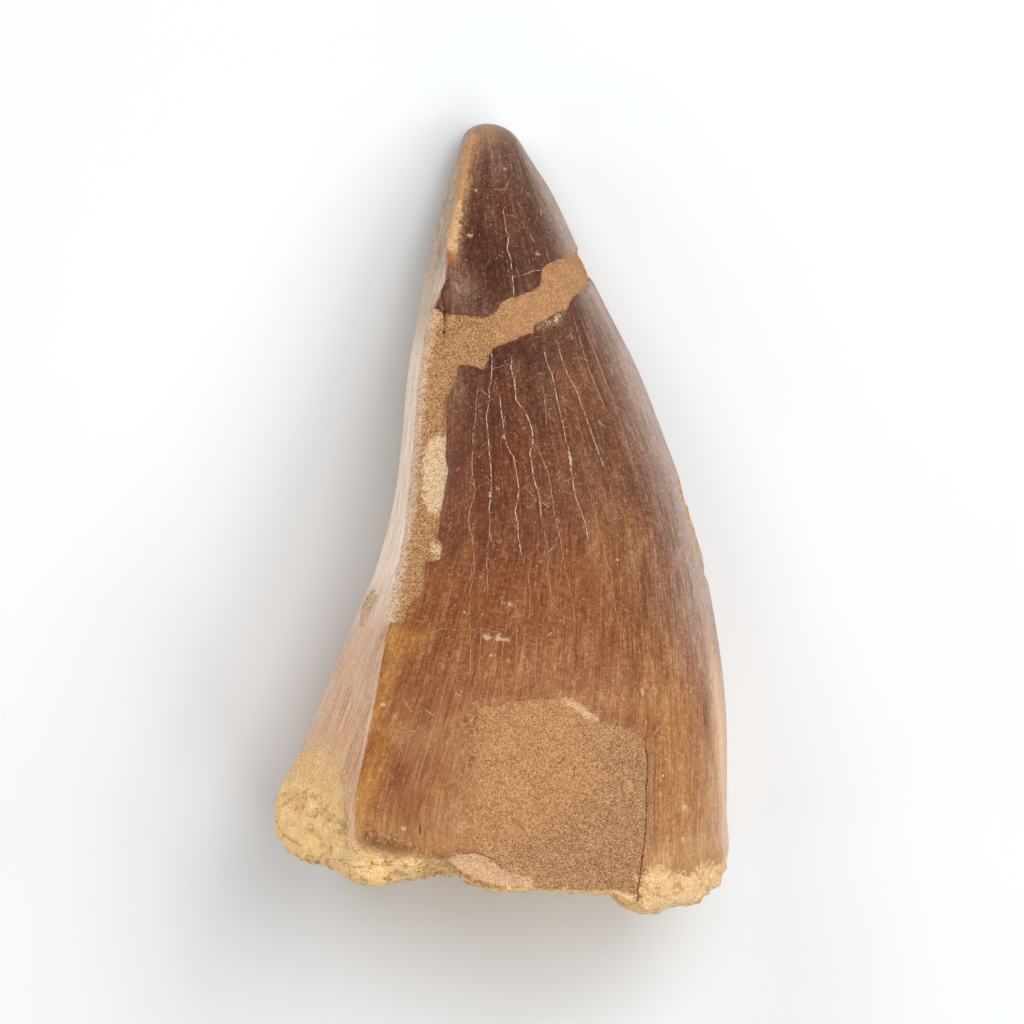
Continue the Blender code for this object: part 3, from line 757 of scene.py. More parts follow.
def through_points(at, xs, ys):
    """A smooth curve through points: cubic pieces with averaged slopes."""
    xs, ys = np.asarray(xs, float), np.asarray(ys, float)
    steps = np.diff(ys) / np.diff(xs)
    slopes = np.empty_like(ys)
    slopes[0], slopes[-1] = steps[0], steps[-1]
    slopes[1:-1] = (steps[:-1] + steps[1:]) / 2
    left = np.clip(np.searchsorted(xs, at) - 1, 0, len(xs) - 2)
    gap = xs[left + 1] - xs[left]
    s = np.clip((at - xs[left]) / gap, 0, 1)
    return (
        ys[left] * (1 + 2 * s) * (1 - s) ** 2
        + gap * slopes[left] * s * (1 - s) ** 2
        + ys[left + 1] * s * s * (3 - 2 * s)
        + gap * slopes[left + 1] * s * s * (s - 1)
    )


def round_the_tooth(angle, xs, ys):
    """The same kind of curve, closed on itself after a full turn of the angle in degrees."""
    turns = np.concatenate([xs[-3:] - 360, xs, xs[:3] + 360])
    return through_points(np.mod(angle, 360), turns, np.concatenate([ys[-3:], ys, ys[:3]]))


def blend(low, high, value):
    """0 below low, 1 above high, and a smooth step between."""
    s = np.clip((value - low) / (high - low), 0, 1)
    return s * s * (3 - 2 * s)


def waves(points, layers):
    """Soft uneven noise at each point, summed from layers of waves per millimetre and height."""
    total = np.zeros(len(points))
    for grain, height in layers:
        total += height * np.array([noise.noise(p) for p in (points * grain).tolist()])
    return total


def section(y):
    """The middle and half size of the cross-section at height y: x, half width, z, half depth."""
    root = np.sqrt(np.clip(TIP_Y - y, 0, LENGTH) / LENGTH)
    roots = np.sqrt(SECTIONS[:, 0])
    left, right = (through_points(root, roots, SECTIONS[:, c]) * WIDTH for c in (1, 2))
    under, top = (through_points(root, roots, SECTIONS[:, c]) * THICKNESS for c in (3, 4))
    half_width = np.maximum((right - left) / 2, TIP_POINT)
    half_depth = np.maximum((top - under) / 2, TIP_POINT)
    return (left + right) / 2, half_width, (top + under) / 2, half_depth


def keel_angle(y, stations):
    return through_points((TIP_Y - y) / LENGTH, stations[:, 0], stations[:, 1])


def break_height(angle):
    return round_the_tooth(angle, BREAK_EDGE[:, 0], BREAK_EDGE[:, 1]) - LENGTH / 2


def turn_gap(angle, centre):
    """The angle from a centre, between -180 and 180 degrees."""
    return np.mod(angle - centre + 180, 360) - 180


class Skin:
    """Where each vertex of the tooth's skin is: its angle, height, place and facing."""

    def __init__(self, meridians, rings):
        self.grid = rings + 1, meridians + 1
        column, row = np.meshgrid(np.arange(meridians + 1), np.arange(rings + 1))
        around, up = column.ravel() / meridians, row.ravel() / rings
        at_base = np.full_like(around, COLUMN_LEVEL)
        self.edge = break_height(self.angle_round(around, at_base))
        share = np.clip((up - BREAK_ROWS) / (1 - BREAK_ROWS), 0, 1)
        rest = (1 - share) ** ROW_POWER
        rest -= END_CROWDING * np.sin(2 * math.pi * rest) / (2 * math.pi)
        crown_y = TIP_Y - (TIP_Y - self.edge) * rest
        self.out = np.clip(up / BREAK_ROWS, 0, 1)
        self.on_break = up < BREAK_ROWS
        rise = HOLLOW_FLOOR + (SHOULDER - HOLLOW_FLOOR) * blend(HOLLOW_SHARE, MOUTH_SHARE, self.out)
        shoulder = rise - LENGTH / 2
        break_y = shoulder + (self.edge - shoulder) * blend(MOUTH_SHARE, 1.0, self.out)
        self.y = np.where(self.on_break, break_y, crown_y)
        self.level = np.where(self.on_break, self.edge, crown_y)
        self.angle = self.angle_round(around, self.level)
        self.poles = up == 0, up == 1
        self.smooth_shape()
        self.push(self.large_relief(), 0.0)

    @staticmethod
    def angle_round(around, y):
        """The angle of a meridian, which keeps two of the meridians on the keels."""
        right, left = keel_angle(y, RIGHT_KEEL), keel_angle(y, LEFT_KEEL)
        over_top = right + (left - right) * around / UPPER_COLUMNS
        past = (around - UPPER_COLUMNS) / (1 - UPPER_COLUMNS)
        underneath = left + (360 + right - left) * past
        return np.where(around < UPPER_COLUMNS, over_top, underneath)

    def smooth_shape(self):
        x0, half_width, z0, half_depth = section(self.level)
        turn = np.radians(self.angle)
        power = 2 / ROUNDNESS
        across = np.sign(np.cos(turn)) * np.abs(np.cos(turn)) ** power
        above = np.sign(np.sin(turn)) * np.abs(np.sin(turn)) ** power
        self.mean = (half_width + half_depth) / 2
        in_rounding = np.clip(1 - (self.y - self.edge) / BREAK_ROUNDING, 0, 1)
        rounding = 1 - BREAK_ROUNDING / self.mean * (1 - np.sqrt(1 - in_rounding ** 2))
        reach = np.where(self.on_break, self.out * (1 - BREAK_ROUNDING / self.mean), rounding)
        x, z = x0 + half_width * across * reach, z0 + half_depth * above * reach
        self.places = np.stack([x, self.y, z], 1)

    def facing(self):
        """The outward direction at each vertex, from its neighbours in the grid."""
        grid = self.places.reshape(*self.grid, 3)
        inner = grid[:, :-1]
        round_way = np.roll(inner, -1, 1) - np.roll(inner, 1, 1)
        round_way = np.concatenate([round_way, round_way[:, :1]], 1)
        out = np.cross(np.gradient(grid, axis=0), round_way).reshape(-1, 3)
        out /= np.maximum(np.linalg.norm(out, axis=1, keepdims=True), 1e-12)
        for pole, way in zip(self.poles, (-1, 1)):
            out[pole] = (0, way, 0)
        return out

    def push(self, height, overhang):
        """Moves the skin outwards by a height at each vertex, but little past the break's edge."""
        self.places = self.places + self.facing() * height[:, None]
        for pole in self.poles:
            self.places[pole] = self.places[pole].mean(axis=0)
        # The break keeps its outline: only fine grit stands out past its edge
        self.places[:, 1] = np.maximum(self.places[:, 1], self.edge - overhang)

    def large_relief(self):
        """Keels, swellings and slow waves: the relief that the solid has too."""
        height = waves(self.places, CROWN_WAVES)
        fade = blend(*KEEL_FADE, TIP_Y - self.y)
        for stations, rise, spread in KEELS:
            reach = spread * np.clip(self.mean / KEEL_RADIUS, *KEEL_SPREADS)
            gap = np.abs(self.girth(keel_angle(self.level, stations)))
            height += rise * fade * np.clip(1 - gap / reach, 0, 1) ** KEEL_POWER
        for centre, level, reach, rise in LUMPS:
            gap = np.hypot(self.girth(centre), self.y - level) / reach
            height += rise * np.exp(-gap * gap)
        height *= blend(0, TIP_FADE, TIP_Y - self.y)
        broken = waves(self.places, BREAK_WAVES)
        rim = blend(RIM_SHARE, 1.0, self.out)
        # The meridians meet at the middle of the hollow, so its relief fades there
        broken *= blend(0.0, MIDDLE_FADE, self.out)
        return np.where(self.on_break, broken * (1 - rim) + height * rim, height)

    def girth(self, centre):
        """Distance round the skin from a meridian, in millimetres."""
        return np.radians(turn_gap(self.angle, centre)) * self.mean

    def from_photo(self, pixels):
        """Angle round the tooth and height, for pixels of the photograph on the upper face."""
        if not hasattr(self, "seen"):
            self.seen = (self.facing()[:, 2] > SEEN_TILT) & ~self.on_break
        places, angles = self.places[self.seen], turn_gap(self.angle[self.seen], TOP) + TOP
        result = []
        for x_pixel, y_pixel in pixels:
            x, y = (x_pixel - MIDDLE[0]) * PIXEL, (MIDDLE[1] - y_pixel) * PIXEL
            aside, along = places[:, 0] - x, places[:, 1] - y
            away = np.hypot(aside, along)
            near = np.argpartition(away, NEIGHBOURS)[:NEIGHBOURS]
            closest = near[np.argmin(away[near])]
            angle = angles[closest] + OVERSHOOT * aside[closest]
            if away[closest] < NEAR:
                # A plane through the nearest vertices gives the angle between them
                level = np.stack([np.ones(NEIGHBOURS), aside[near], along[near]], 1)
                angle = np.linalg.lstsq(level, angles[near], rcond=None)[0][0]
                angle = np.clip(angle, angles[near].min(), angles[near].max())
            result.append((angle, y))
        return np.array(result)

    def inside(self, outline):
        """Distance inside a closed outline of angles and heights, and below 0 outside it."""
        outline = np.array(outline, float)
        centre = outline[:, 0].mean()
        x, y = self.girth(centre), self.level
        nearest = np.full_like(x, np.inf)
        within = np.zeros(x.shape, bool)
        turns = np.radians(outline[:, 0] - centre)
        corners = list(zip(turns, outline[:, 1]))
        for (turn_a, ay), (turn_b, by) in zip(corners, corners[1:] + corners[:1]):
            ax, bx = turn_a * self.mean, turn_b * self.mean
            nearest = np.minimum(nearest, to_segment(x, y, ax, ay, bx, by)[0])
            if ay != by:
                within ^= ((ay > y) != (by > y)) & (x < ax + (y - ay) * (bx - ax) / (by - ay))
        return np.where(within, nearest, -nearest)

    def line_field(self, lines):
        """Signed offset to the nearest line, plain distance to it, and its strength."""
        side, gap = (np.full(self.y.shape, FAR) for _ in range(2))
        strength = np.zeros(self.y.shape)
        for weight, points in lines:
            centre = points[:, 0].mean()
            x, y = self.girth(centre), self.level
            turns = np.radians(points[:, 0] - centre)
            for j in range(len(points) - 1):
                ends = turns[j] * self.mean, points[j, 1], turns[j + 1] * self.mean, points[j + 1, 1]
                away, turned = to_segment(x, y, *ends)
                nearer = (away < gap) & ~self.on_break
                gap = np.where(nearer, away, gap)
                side = np.where(nearer, turned * away, side)
                strength = np.where(nearer, weight, strength)
        return side, gap, strength


def to_segment(x, y, ax, ay, bx, by):
    """Distance from points to a segment, and on which side of it they are."""
    dx, dy = bx - ax, by - ay
    s = np.clip(((x - ax) * dx + (y - ay) * dy) / (dx * dx + dy * dy + 1e-9), 0, 1)
    return np.hypot(x - ax - s * dx, y - ay - s * dy), np.sign((x - ax) * dy - (y - ay) * dx)


def repair_band(skin):
    """Distance inside the sandy ring, measured along the tooth, with a gap on the side facet."""
    edges = []
    for seen, unseen in ((REPAIR_TOP, REPAIR_TOP_UNSEEN), (REPAIR_FOOT, REPAIR_FOOT_UNSEEN)):
        curve = np.concatenate([skin.from_photo(seen), np.array(unseen, float)])
        curve = curve[np.argsort(curve[:, 0])]
        curve = np.concatenate([curve[-1:] - (360, 0), curve, curve[:1] + (360, 0)])
        low = np.mod(skin.angle - curve[0, 0], 360) + curve[0, 0]
        edges.append(np.interp(low, curve[:, 0], curve[:, 1]))
    off_facet = np.maximum(-skin.girth(keel_angle(skin.level, LEFT_KEEL)), skin.girth(REPAIR_GAP))
    below_top, above_foot = edges[0] - skin.level, skin.level - edges[1]
    return np.minimum.reduce([below_top, above_foot, off_facet + REPAIR_OVERLAP])


def unseen_cracks():
    """Hairline cracks down the faces that the photograph doesn't show, in two sets."""
    rng = np.random.default_rng(HIDDEN_CRACK_SEED)
    sets = [], []
    for k, turn in enumerate(HIDDEN_CRACK_TURNS):
        start = rng.uniform(*HIDDEN_CRACK_STARTS)
        foot = max(start - rng.uniform(*HIDDEN_CRACK_LENGTHS), HIDDEN_CRACK_FOOT)
        heights = np.arange(start, foot, -HIDDEN_CRACK_STEP)
        drift = np.cumsum(rng.normal(0, HIDDEN_CRACK_WANDER, len(heights)))
        strength = rng.uniform(*HIDDEN_CRACK_STRENGTHS)
        sets[k % 2].append((strength, np.stack([turn + drift, heights], 1)))
    return sets


def scratches():
    """Fine short scratches in the enamel of the upper face."""
    rng = np.random.default_rng(SCRATCH_SEED)
    lines = []
    for _ in range(SCRATCHES):
        angle, height = rng.uniform(*SCRATCH_ANGLES), rng.uniform(*SCRATCH_HEIGHTS)
        way, bend = rng.normal(*SCRATCH_WAY), rng.normal(*SCRATCH_BEND)
        ends = np.arange(-1, 2)
        steps = rng.uniform(*SCRATCH_REACHES) * ends
        turns = np.radians(way + bend * ends)
        strength = rng.uniform(*SCRATCH_STRENGTHS)
        aside = DEGREES_A_MILLIMETRE * np.cos(turns) * steps
        lines.append((strength, np.stack([angle + aside, height + np.sin(turns) * steps], 1)))
    return lines


def tooth_fields(skin):
    """Every marking as a number at each vertex: distances in millimetres, or strengths."""
    upper = np.sin(np.radians(skin.angle)) > UPPER_SINE

    def outline(*shapes):
        depths = [skin.inside(skin.from_photo(shape)) for shape in shapes]
        return np.where(upper, np.maximum.reduce(depths), -FAR)

    keel = skin.girth(keel_angle(skin.level, LEFT_KEEL))
    strip = np.minimum(outline(SAND_STRIP), STRIP_OVERLAP - keel)
    # Just above the repair the pale face reaches past the keel
    height, reach, width = FACET_BULGE
    keel_side = keel + width * np.exp(-((skin.level - height) / reach) ** 2)
    fields = {
        "sand": np.maximum.reduce([repair_band(skin), strip, skin.inside(UNDER_SAND)]),
        "pale_sand": outline(PALE_SAND, PALE_SAND_LOW),
        "bare": np.maximum(outline(BARE_PATCH), skin.inside(UNDER_BARE)),
        "grime": outline(GRIMY_PATCH),
        "chip": outline(CHIP, PATCH_CHIP),
        "crumbly": outline(CRUMBLY_SPOT),
        "pink_sand": outline(PINK_SAND),
        "wear": outline(TIP_WEAR),
        "tip_lumps": outline(TIP_LUMPS),
        "side_wear": outline(RIGHT_WEAR, LEFT_WEAR),
        "facet_crust": outline(FACET_CRUST),
        "right_crust": outline(RIGHT_CRUST),
        "smooth_crust": outline(SMOOTH_CRUST),
        "rust": outline(RUST_SPOT, KEEL_RUST),
        "olive": outline(OLIVE_WEDGE),
        "mottle": outline(MOTTLING),
        "stain": outline(BASE_STAIN, LUMP_STAIN),
        "beyond": np.minimum(keel_side, -skin.girth(FACET_END)),
    }
    above_edge = fields["above"] = skin.level - skin.edge
    hidden = blend(*HIDDEN_START, skin.angle) * (1 - blend(*HIDDEN_END, skin.angle))
    under_crust = np.where(hidden > 0, UNDER_CRUST_RISE * hidden - above_edge, -FAR)
    fields["crust"] = np.maximum(outline(LEFT_CRUST, RIGHT_CRUST, RIM_CRUST), under_crust)
    inwards = (1 - skin.out) * skin.mean
    fields["broken"] = np.where(skin.on_break, inwards, RIM_HEIGHT - above_edge)
    unseen_sets = unseen_cracks()
    line_sets = (
        ("crack", CRACKS, unseen_sets[0]), ("side_crack", SIDE_CRACKS, unseen_sets[1]),
        ("dark", DARK_CRACKS, []), ("side_dark", DARK_SIDE_CRACKS, []),
        ("dusty", DUSTY_CRACKS, []), ("scratch", (), scratches()),
    )
    for name, seen, more in line_sets:
        lines = [(weight, skin.from_photo(points)) for weight, points in seen]
        side, gap, strength = skin.line_field(lines + more)
        fields[name + "_side"], fields[name + "_gap"] = side, gap
        fields[name + "_strength"] = strength
    spots = np.full(skin.y.shape, FAR)
    for x, y, radius in PALE_SPOTS:
        angle, height = skin.from_photo([(x, y)])[0]
        away = np.hypot(skin.girth(angle), skin.level - height) - radius * PIXEL
        spots = np.minimum(spots, np.where(upper, away, FAR))
    fields["spots"] = -spots
    covering = [fields[name] for name, *rest in SURFACES if name not in WITHIN]
    fields["rough"] = np.maximum.reduce(covering + [fields["broken"]])
    return fields


def fine_relief(skin, fields, sizes):
    """How far the finer relief stands out at each vertex, in millimetres."""
    places = skin.places
    enamel = sizes.enamel / MM
    height = np.zeros(len(places))
    # Wrinkles run down the meridians, so their noise is stretched along them
    turn = np.radians(skin.angle)
    ridges = np.stack(
        [np.cos(turn) * WRINKLE_ROUND, np.sin(turn) * WRINKLE_ROUND, skin.y / WRINKLE_ALONG], 1
    )
    rough = blend(*RISES["smooth"], np.maximum(fields["bare"], fields["sand"]))
    layers = (FINE_WRINKLES, sizes.wrinkle / MM), (SLOW_WRINKLES, SLOW_WRINKLE)
    height += waves(ridges, layers) * (1 - rough)
    # Where the enamel has broken off, the skin steps down by its thickness
    height -= enamel * SAND_STEP * blend(*RISES["sand_step"], fields["sand"])
    from_left = blend(*RISES["bare_left"], places[:, 0])
    height -= enamel * from_left * BARE_STEP * blend(*RISES["bare_step"], fields["bare"])
    for name, start, end, depth in STEPS:
        height -= depth * blend(start, end, fields[name])
    bare = blend(*RISES["bare"], fields["bare"]) * BARE_GRAIN
    sandy = np.maximum(blend(*RISES["sand"], fields["sand"]), bare)
    height += waves(places, SAND_WAVES) * sandy
    worn = blend(*RISES["wear"], fields["wear"]) * blend(*LUMPY_WEAR, skin.y)
    height += waves(places, WEAR_WAVES) * worn
    # The crust is lumpy, with pits
    crusty = blend(*RISES["crust"], np.maximum(fields["crust"], fields["broken"]))
    height += waves(places + CRUST_SHIFT, CRUST_WAVES) * crusty
    side_rough = blend(*RISES["side"], np.maximum(fields["side_wear"], fields["facet_crust"]))
    height += waves(places, SIDE_WAVES) * side_rough
    for name, depth, width in GROOVES:
        hollow = np.exp(-(fields[name + "_gap"] / width) ** 2)
        height -= depth * fields[name + "_strength"] * hollow
    height *= np.where(skin.on_break, blend(0.0, MIDDLE_FADE, skin.out), 1.0)
    return height * blend(0, FINE_TIP_FADE, TIP_Y - skin.y)


def ladder(skin, colours, steps):
    """A colour that changes with the height up the tooth, at each vertex."""
    heights = [-height for height, name in steps]
    stops = np.array([getattr(colours, name)[:] for height, name in steps])
    return np.stack([np.interp(-skin.level, heights, stops[:, channel]) for channel in range(3)], 1)


def tone_colours(skin, colours):
    """The enamel's soft tones at each vertex, as linear colour."""
    tone = ladder(skin, colours, TONE_LADDER)

    def tint(strength, name):
        amount = np.clip(strength, 0, 1)[:, None]
        tone[:] = tone * (1 - amount) + np.array(getattr(colours, name)[:]) * amount

    for x, y, across, along, name, strength in TONES:
        angle, height = skin.from_photo([(x, y)])[0]
        aside = skin.girth(angle) / (across * PIXEL)
        spread = np.hypot(aside, (skin.level - height) / (along * PIXEL))
        tint(strength * np.exp(-spread * spread), name)
    right = turn_gap(skin.angle, 0)
    # Bands of painted reflection down the convex edge
    for upper, lower, heights, name, strength in EDGE_BANDS:
        band = blend(*upper, right) * blend(*lower, right) * blend(*heights, skin.level)
        tint(strength * band, name)
    # The underside has its own patches
    patches = waves(skin.places + UNDER_SHIFT, UNDER_WAVES)
    hidden = blend(*UNDER_START, skin.angle) * (1 - blend(*UNDER_END, skin.angle))
    tint(hidden * blend(*UNDER_EDGE, patches) * UNDER_RUST, "rust")
    tint(hidden * blend(*UNDER_EDGE, -patches) * UNDER_TAN, "tan")
    return tone


def as_mesh(name, made):
    mesh = bpy.data.meshes.new(name)
    made.to_mesh(mesh)
    made.free()
    return mesh


def grid_mesh(name, columns, rows, size):
    grid = bmesh.new()
    bmesh.ops.create_grid(grid, x_segments=columns, y_segments=rows, size=size)
    return as_mesh(name, grid)


def place_vertices(mesh, places):
    """Puts a mesh's vertices in their places, in millimetres."""
    mesh.vertices.foreach_set("co", (places * MM).astype(np.float32).ravel())


def inside_box(places):
    """Keeps places, in millimetres, within the solid's own box and above the floor."""
    low, high = (np.array(corner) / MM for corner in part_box(NODE))
    return np.clip(places, np.maximum(low, (-np.inf, -np.inf, 0)), high)


def build_skin(name, sizes, colours):
    """The tooth's skin as one closed mesh, with its markings stored at its vertices."""
    skin = Skin(sizes.meridians, sizes.rings)
    fields = tooth_fields(skin)
    skin.push(fine_relief(skin, fields, sizes), FINE_OVERHANG)
    skin.places = inside_box(skin.places)
    mesh = grid_mesh(name, sizes.meridians, sizes.rings, 1.0)
    place_vertices(mesh, skin.places)
    for key, values in fields.items():
        stored = mesh.attributes.new(key, "FLOAT", "POINT")
        stored.data.foreach_set("value", values.astype(np.float32))
    store_colour(mesh, "tone", tone_colours(skin, colours))
    store_colour(mesh, "facet_tone", ladder(skin, colours, FACET_LADDER))
    # Round the tooth and along it, in millimetres, for what follows the meridians
    corners = np.empty(len(mesh.loops), np.int32)
    mesh.loops.foreach_get("vertex_index", corners)
    strands = np.stack([np.radians(skin.angle) * WRINKLE_ROUND, skin.y], 1)[corners]
    layer = mesh.uv_layers.new(name="meridians")
    layer.data.foreach_set("uv", strands.astype(np.float32).ravel())
    merged = bmesh.new()
    merged.from_mesh(mesh)
    bmesh.ops.remove_doubles(merged, verts=merged.verts, dist=SAME_PLACE * MM)
    bmesh.ops.recalc_face_normals(merged, faces=merged.faces)
    merged.to_mesh(mesh)
    merged.free()
    mesh.shade_smooth()
    return mesh


def store_colour(mesh, name, values):
    layer = mesh.attributes.new(name, "FLOAT_COLOR", "POINT")
    rgba = np.concatenate([values, np.ones((len(values), 1))], 1)
    layer.data.foreach_set("color", rgba.astype(np.float32).ravel())


def mesh_values(mesh, name):
    """A stored marking of the skin, or its vertices' places or normals."""
    if name in ("co", "normal"):
        values = np.empty(len(mesh.vertices) * 3, np.float32)
        mesh.vertices.foreach_get(name, values)
        return values.reshape(-1, 3).astype(float)
    values = np.empty(len(mesh.vertices), np.float32)
    mesh.attributes[name].data.foreach_get("value", values)
    return values


def build_crumbs(name, tooth, sizes, colours):
    """Loose grains half sunk into the crust, the broken base and the repair, as one mesh."""
    rng = np.random.default_rng(CRUMB_SEED)
    places, out = mesh_values(tooth, "co"), mesh_values(tooth, "normal")
    crust, sand, wear = (mesh_values(tooth, key) for key in ("crust", "sand", "wear"))
    likely = sum(
        weight * blend(start, end, mesh_values(tooth, key))
        for key, start, end, weight in CRUMB_PLACES
    )
    start, end, weight = CRUMB_WEAR
    likely = likely + weight * blend(start, end, wear) * blend(*LUMPY_WEAR, places[:, 1] / MM)
    chosen = rng.choice(len(likely), sizes.crumbs, replace=False, p=likely / likely.sum())
    grains = bmesh.new()
    tones = []
    for k in chosen:
        radius = sizes.crumb * rng.uniform(*CRUMB_RADIUS)
        if crust[k] < 0:
            radius *= CRUMB_OFF_CRUST
        place = Vector(places[k] - CRUMB_SUNK * out[k] * radius)
        size = Matrix.Diagonal((*(radius * rng.uniform(*CRUMB_STRETCH, 3)), 1))
        turned = Euler(rng.uniform(0, CRUMB_TURN, 3)).to_matrix().to_4x4()
        matrix = Matrix.Translation(place) @ turned @ size
        made = bmesh.ops.create_icosphere(grains, subdivisions=1, radius=1.0, matrix=matrix)
        sandy = sand[k] > 0 or wear[k] > 0
        names = ("sand", "sand_light") if sandy else ("crust", "crust_light", "crust_light", "chip")
        tones += [getattr(colours, names[rng.integers(len(names))])[:]] * len(made["verts"])
    mesh = as_mesh(name, grains)
    place_vertices(mesh, inside_box(mesh_values(mesh, "co") / MM))
    store_colour(mesh, "tone", np.array(tones))
    mesh.shade_smooth()
    return mesh


# Node helpers

def put(tree, kind, inputs=(), **settings):
    """A new node's outputs. Its inputs are fed by number or by name."""
    node = tree.nodes.new(kind)
    for key, value in settings.items():
        setattr(node, key, value)
    for key, value in dict(inputs).items():
        feed(tree, node.inputs[key], value)
    return node.outputs


def feed(tree, socket, value):
    """Links a socket, or sets a plain value or colour."""
    if isinstance(value, bpy.types.NodeSocket):
        tree.links.new(value, socket)
    elif hasattr(value, "__len__") and len(value) == 3 and len(socket.default_value) == 4:
        socket.default_value = (*value, 1.0)
    else:
        socket.default_value = value


def calc(tree, operation, *values):
    return put(tree, "ShaderNodeMath", enumerate(values), operation=operation)[0]


def joined_by(operation):
    """A helper that joins any number of values by one operation."""
    def join(tree, *values):
        return functools.reduce(lambda first, second: calc(tree, operation, first, second), values)
    return join


total, times, greatest = (joined_by(operation) for operation in ("ADD", "MULTIPLY", "MAXIMUM"))


def minus(tree, first, second):
    return calc(tree, "SUBTRACT", first, second)


def flipped(tree, value):
    return minus(tree, 1.0, value)


def mix(tree, factor, first, second):
    """Goes from the first colour to the second."""
    return put(tree, "ShaderNodeMix", {0: factor, 6: first, 7: second}, data_type="RGBA")[2]


def mix_values(tree, factor, first, second):
    return put(tree, "ShaderNodeMix", {0: factor, 2: first, 3: second}, data_type="FLOAT")[0]


def span(tree, value, low, high, start=0.0, end=1.0):
    """A smooth step of a value from start to end, as it goes from low to high."""
    numbers = enumerate((value, low, high, start, end))
    return put(tree, "ShaderNodeMapRange", numbers, interpolation_type="SMOOTHSTEP")[0]


def step(tree, name, value):
    """How much of a named part a value gives."""
    return span(tree, value, *SETS_IN[name])


def marked(tree, surface, marks, parts, shades):
    """Lays a table's marks over a surface, each by one of the parts and in one of the shades."""
    for name, low, high, strength, shade in marks:
        amount = span(tree, parts[name], low, high, 0.0, strength)
        surface = mix(tree, amount, surface, shades[shade])
    return surface


def field(tree, name):
    return put(tree, "ShaderNodeAttribute", attribute_name=name)["Fac"]


def painted(tree, name):
    return put(tree, "ShaderNodeAttribute", attribute_name=name)["Color"]


def split(tree, vector):
    return put(tree, "ShaderNodeSeparateXYZ", {0: vector})


def grainy(tree, vector, scale, detail, roughness):
    inputs = {"Vector": vector, "Scale": scale, "Detail": detail, "Roughness": roughness}
    return put(tree, "ShaderNodeTexNoise", inputs)["Fac"]


def cells(tree, vector, scale):
    return put(tree, "ShaderNodeTexVoronoi", {"Vector": vector, "Scale": scale})


def scaled(tree, vector, scale):
    return put(tree, "ShaderNodeMapping", {"Vector": vector, "Scale": scale})[0]


def in_millimetres(tree):
    """The place on the piece, in millimetres."""
    return scaled(tree, put(tree, "ShaderNodeTexCoord")["Object"], (1 / MM,) * 3)


def new_material(name):
    """A material with its node tree and its Principled shader."""
    material = bpy.data.materials.new(name)
    material.use_nodes = True
    return material, material.node_tree, material.node_tree.nodes["Principled BSDF"]


def new_group(name, inputs, outputs):
    """A shader group with the named sockets, and its input and output nodes."""
    group = bpy.data.node_groups.new(name, "ShaderNodeTree")
    for way, sockets in (("INPUT", inputs), ("OUTPUT", outputs)):
        for label, kind in sockets:
            group.interface.new_socket(label, in_out=way, socket_type="NodeSocket" + kind)
    return group, put(group, "NodeGroupInput"), group.nodes.new("NodeGroupOutput").inputs


def grit_group():
    """Cemented grains: body colour with single dark and pale grains and specks, painted shade between
    grains, and height.
    """
    group, given, result = new_group(
        "Cemented grit",
        (("Vector", "Vector"), ("Base", "Color"), ("Dark", "Color"), ("Pale", "Color")),
        (("Colour", "Color"), ("Height", "Float")),
    )
    vector = given["Vector"]
    cell = cells(group, vector, GRIT_CELLS)
    random = put(group, "ShaderNodeSeparateColor", {0: cell["Color"]})
    parts = {name: grainy(group, vector, *settings) for name, settings in GRIT_NOISES.items()}
    parts.update(hollow=cell["Distance"], single=random[0])
    feed(group, result["Colour"], marked(group, given["Base"], GRIT_MARKS, parts, given))
    heights = (times(group, parts[name], share) for name, share in GRIT_HEIGHT.items())
    feed(group, result["Height"], total(group, *heights))
    return group


def put_grit(tree, grit, vector, base, dark, pale):
    """Grit in three colours, each a plain one or one that changes from place to place."""
    inputs = {"Vector": vector, "Base": base, "Dark": dark, "Pale": pale}
    return put(tree, "ShaderNodeGroup", inputs, node_tree=grit)


def line_mask(tree, name, width, breakup, shift):
    """A thin uneven line where the signed offset crosses 0, broken up along its length."""
    side = calc(tree, "ABSOLUTE", total(tree, field(tree, name + "_side"), shift))
    gap, strength = field(tree, name + "_gap"), field(tree, name + "_strength")
    reach = total(tree, times(tree, width, strength, breakup), LEAST_WIDTH)
    across = step(tree, "line", calc(tree, "DIVIDE", side, reach))
    return times(tree, across, step(tree, "line_end", gap), strength)


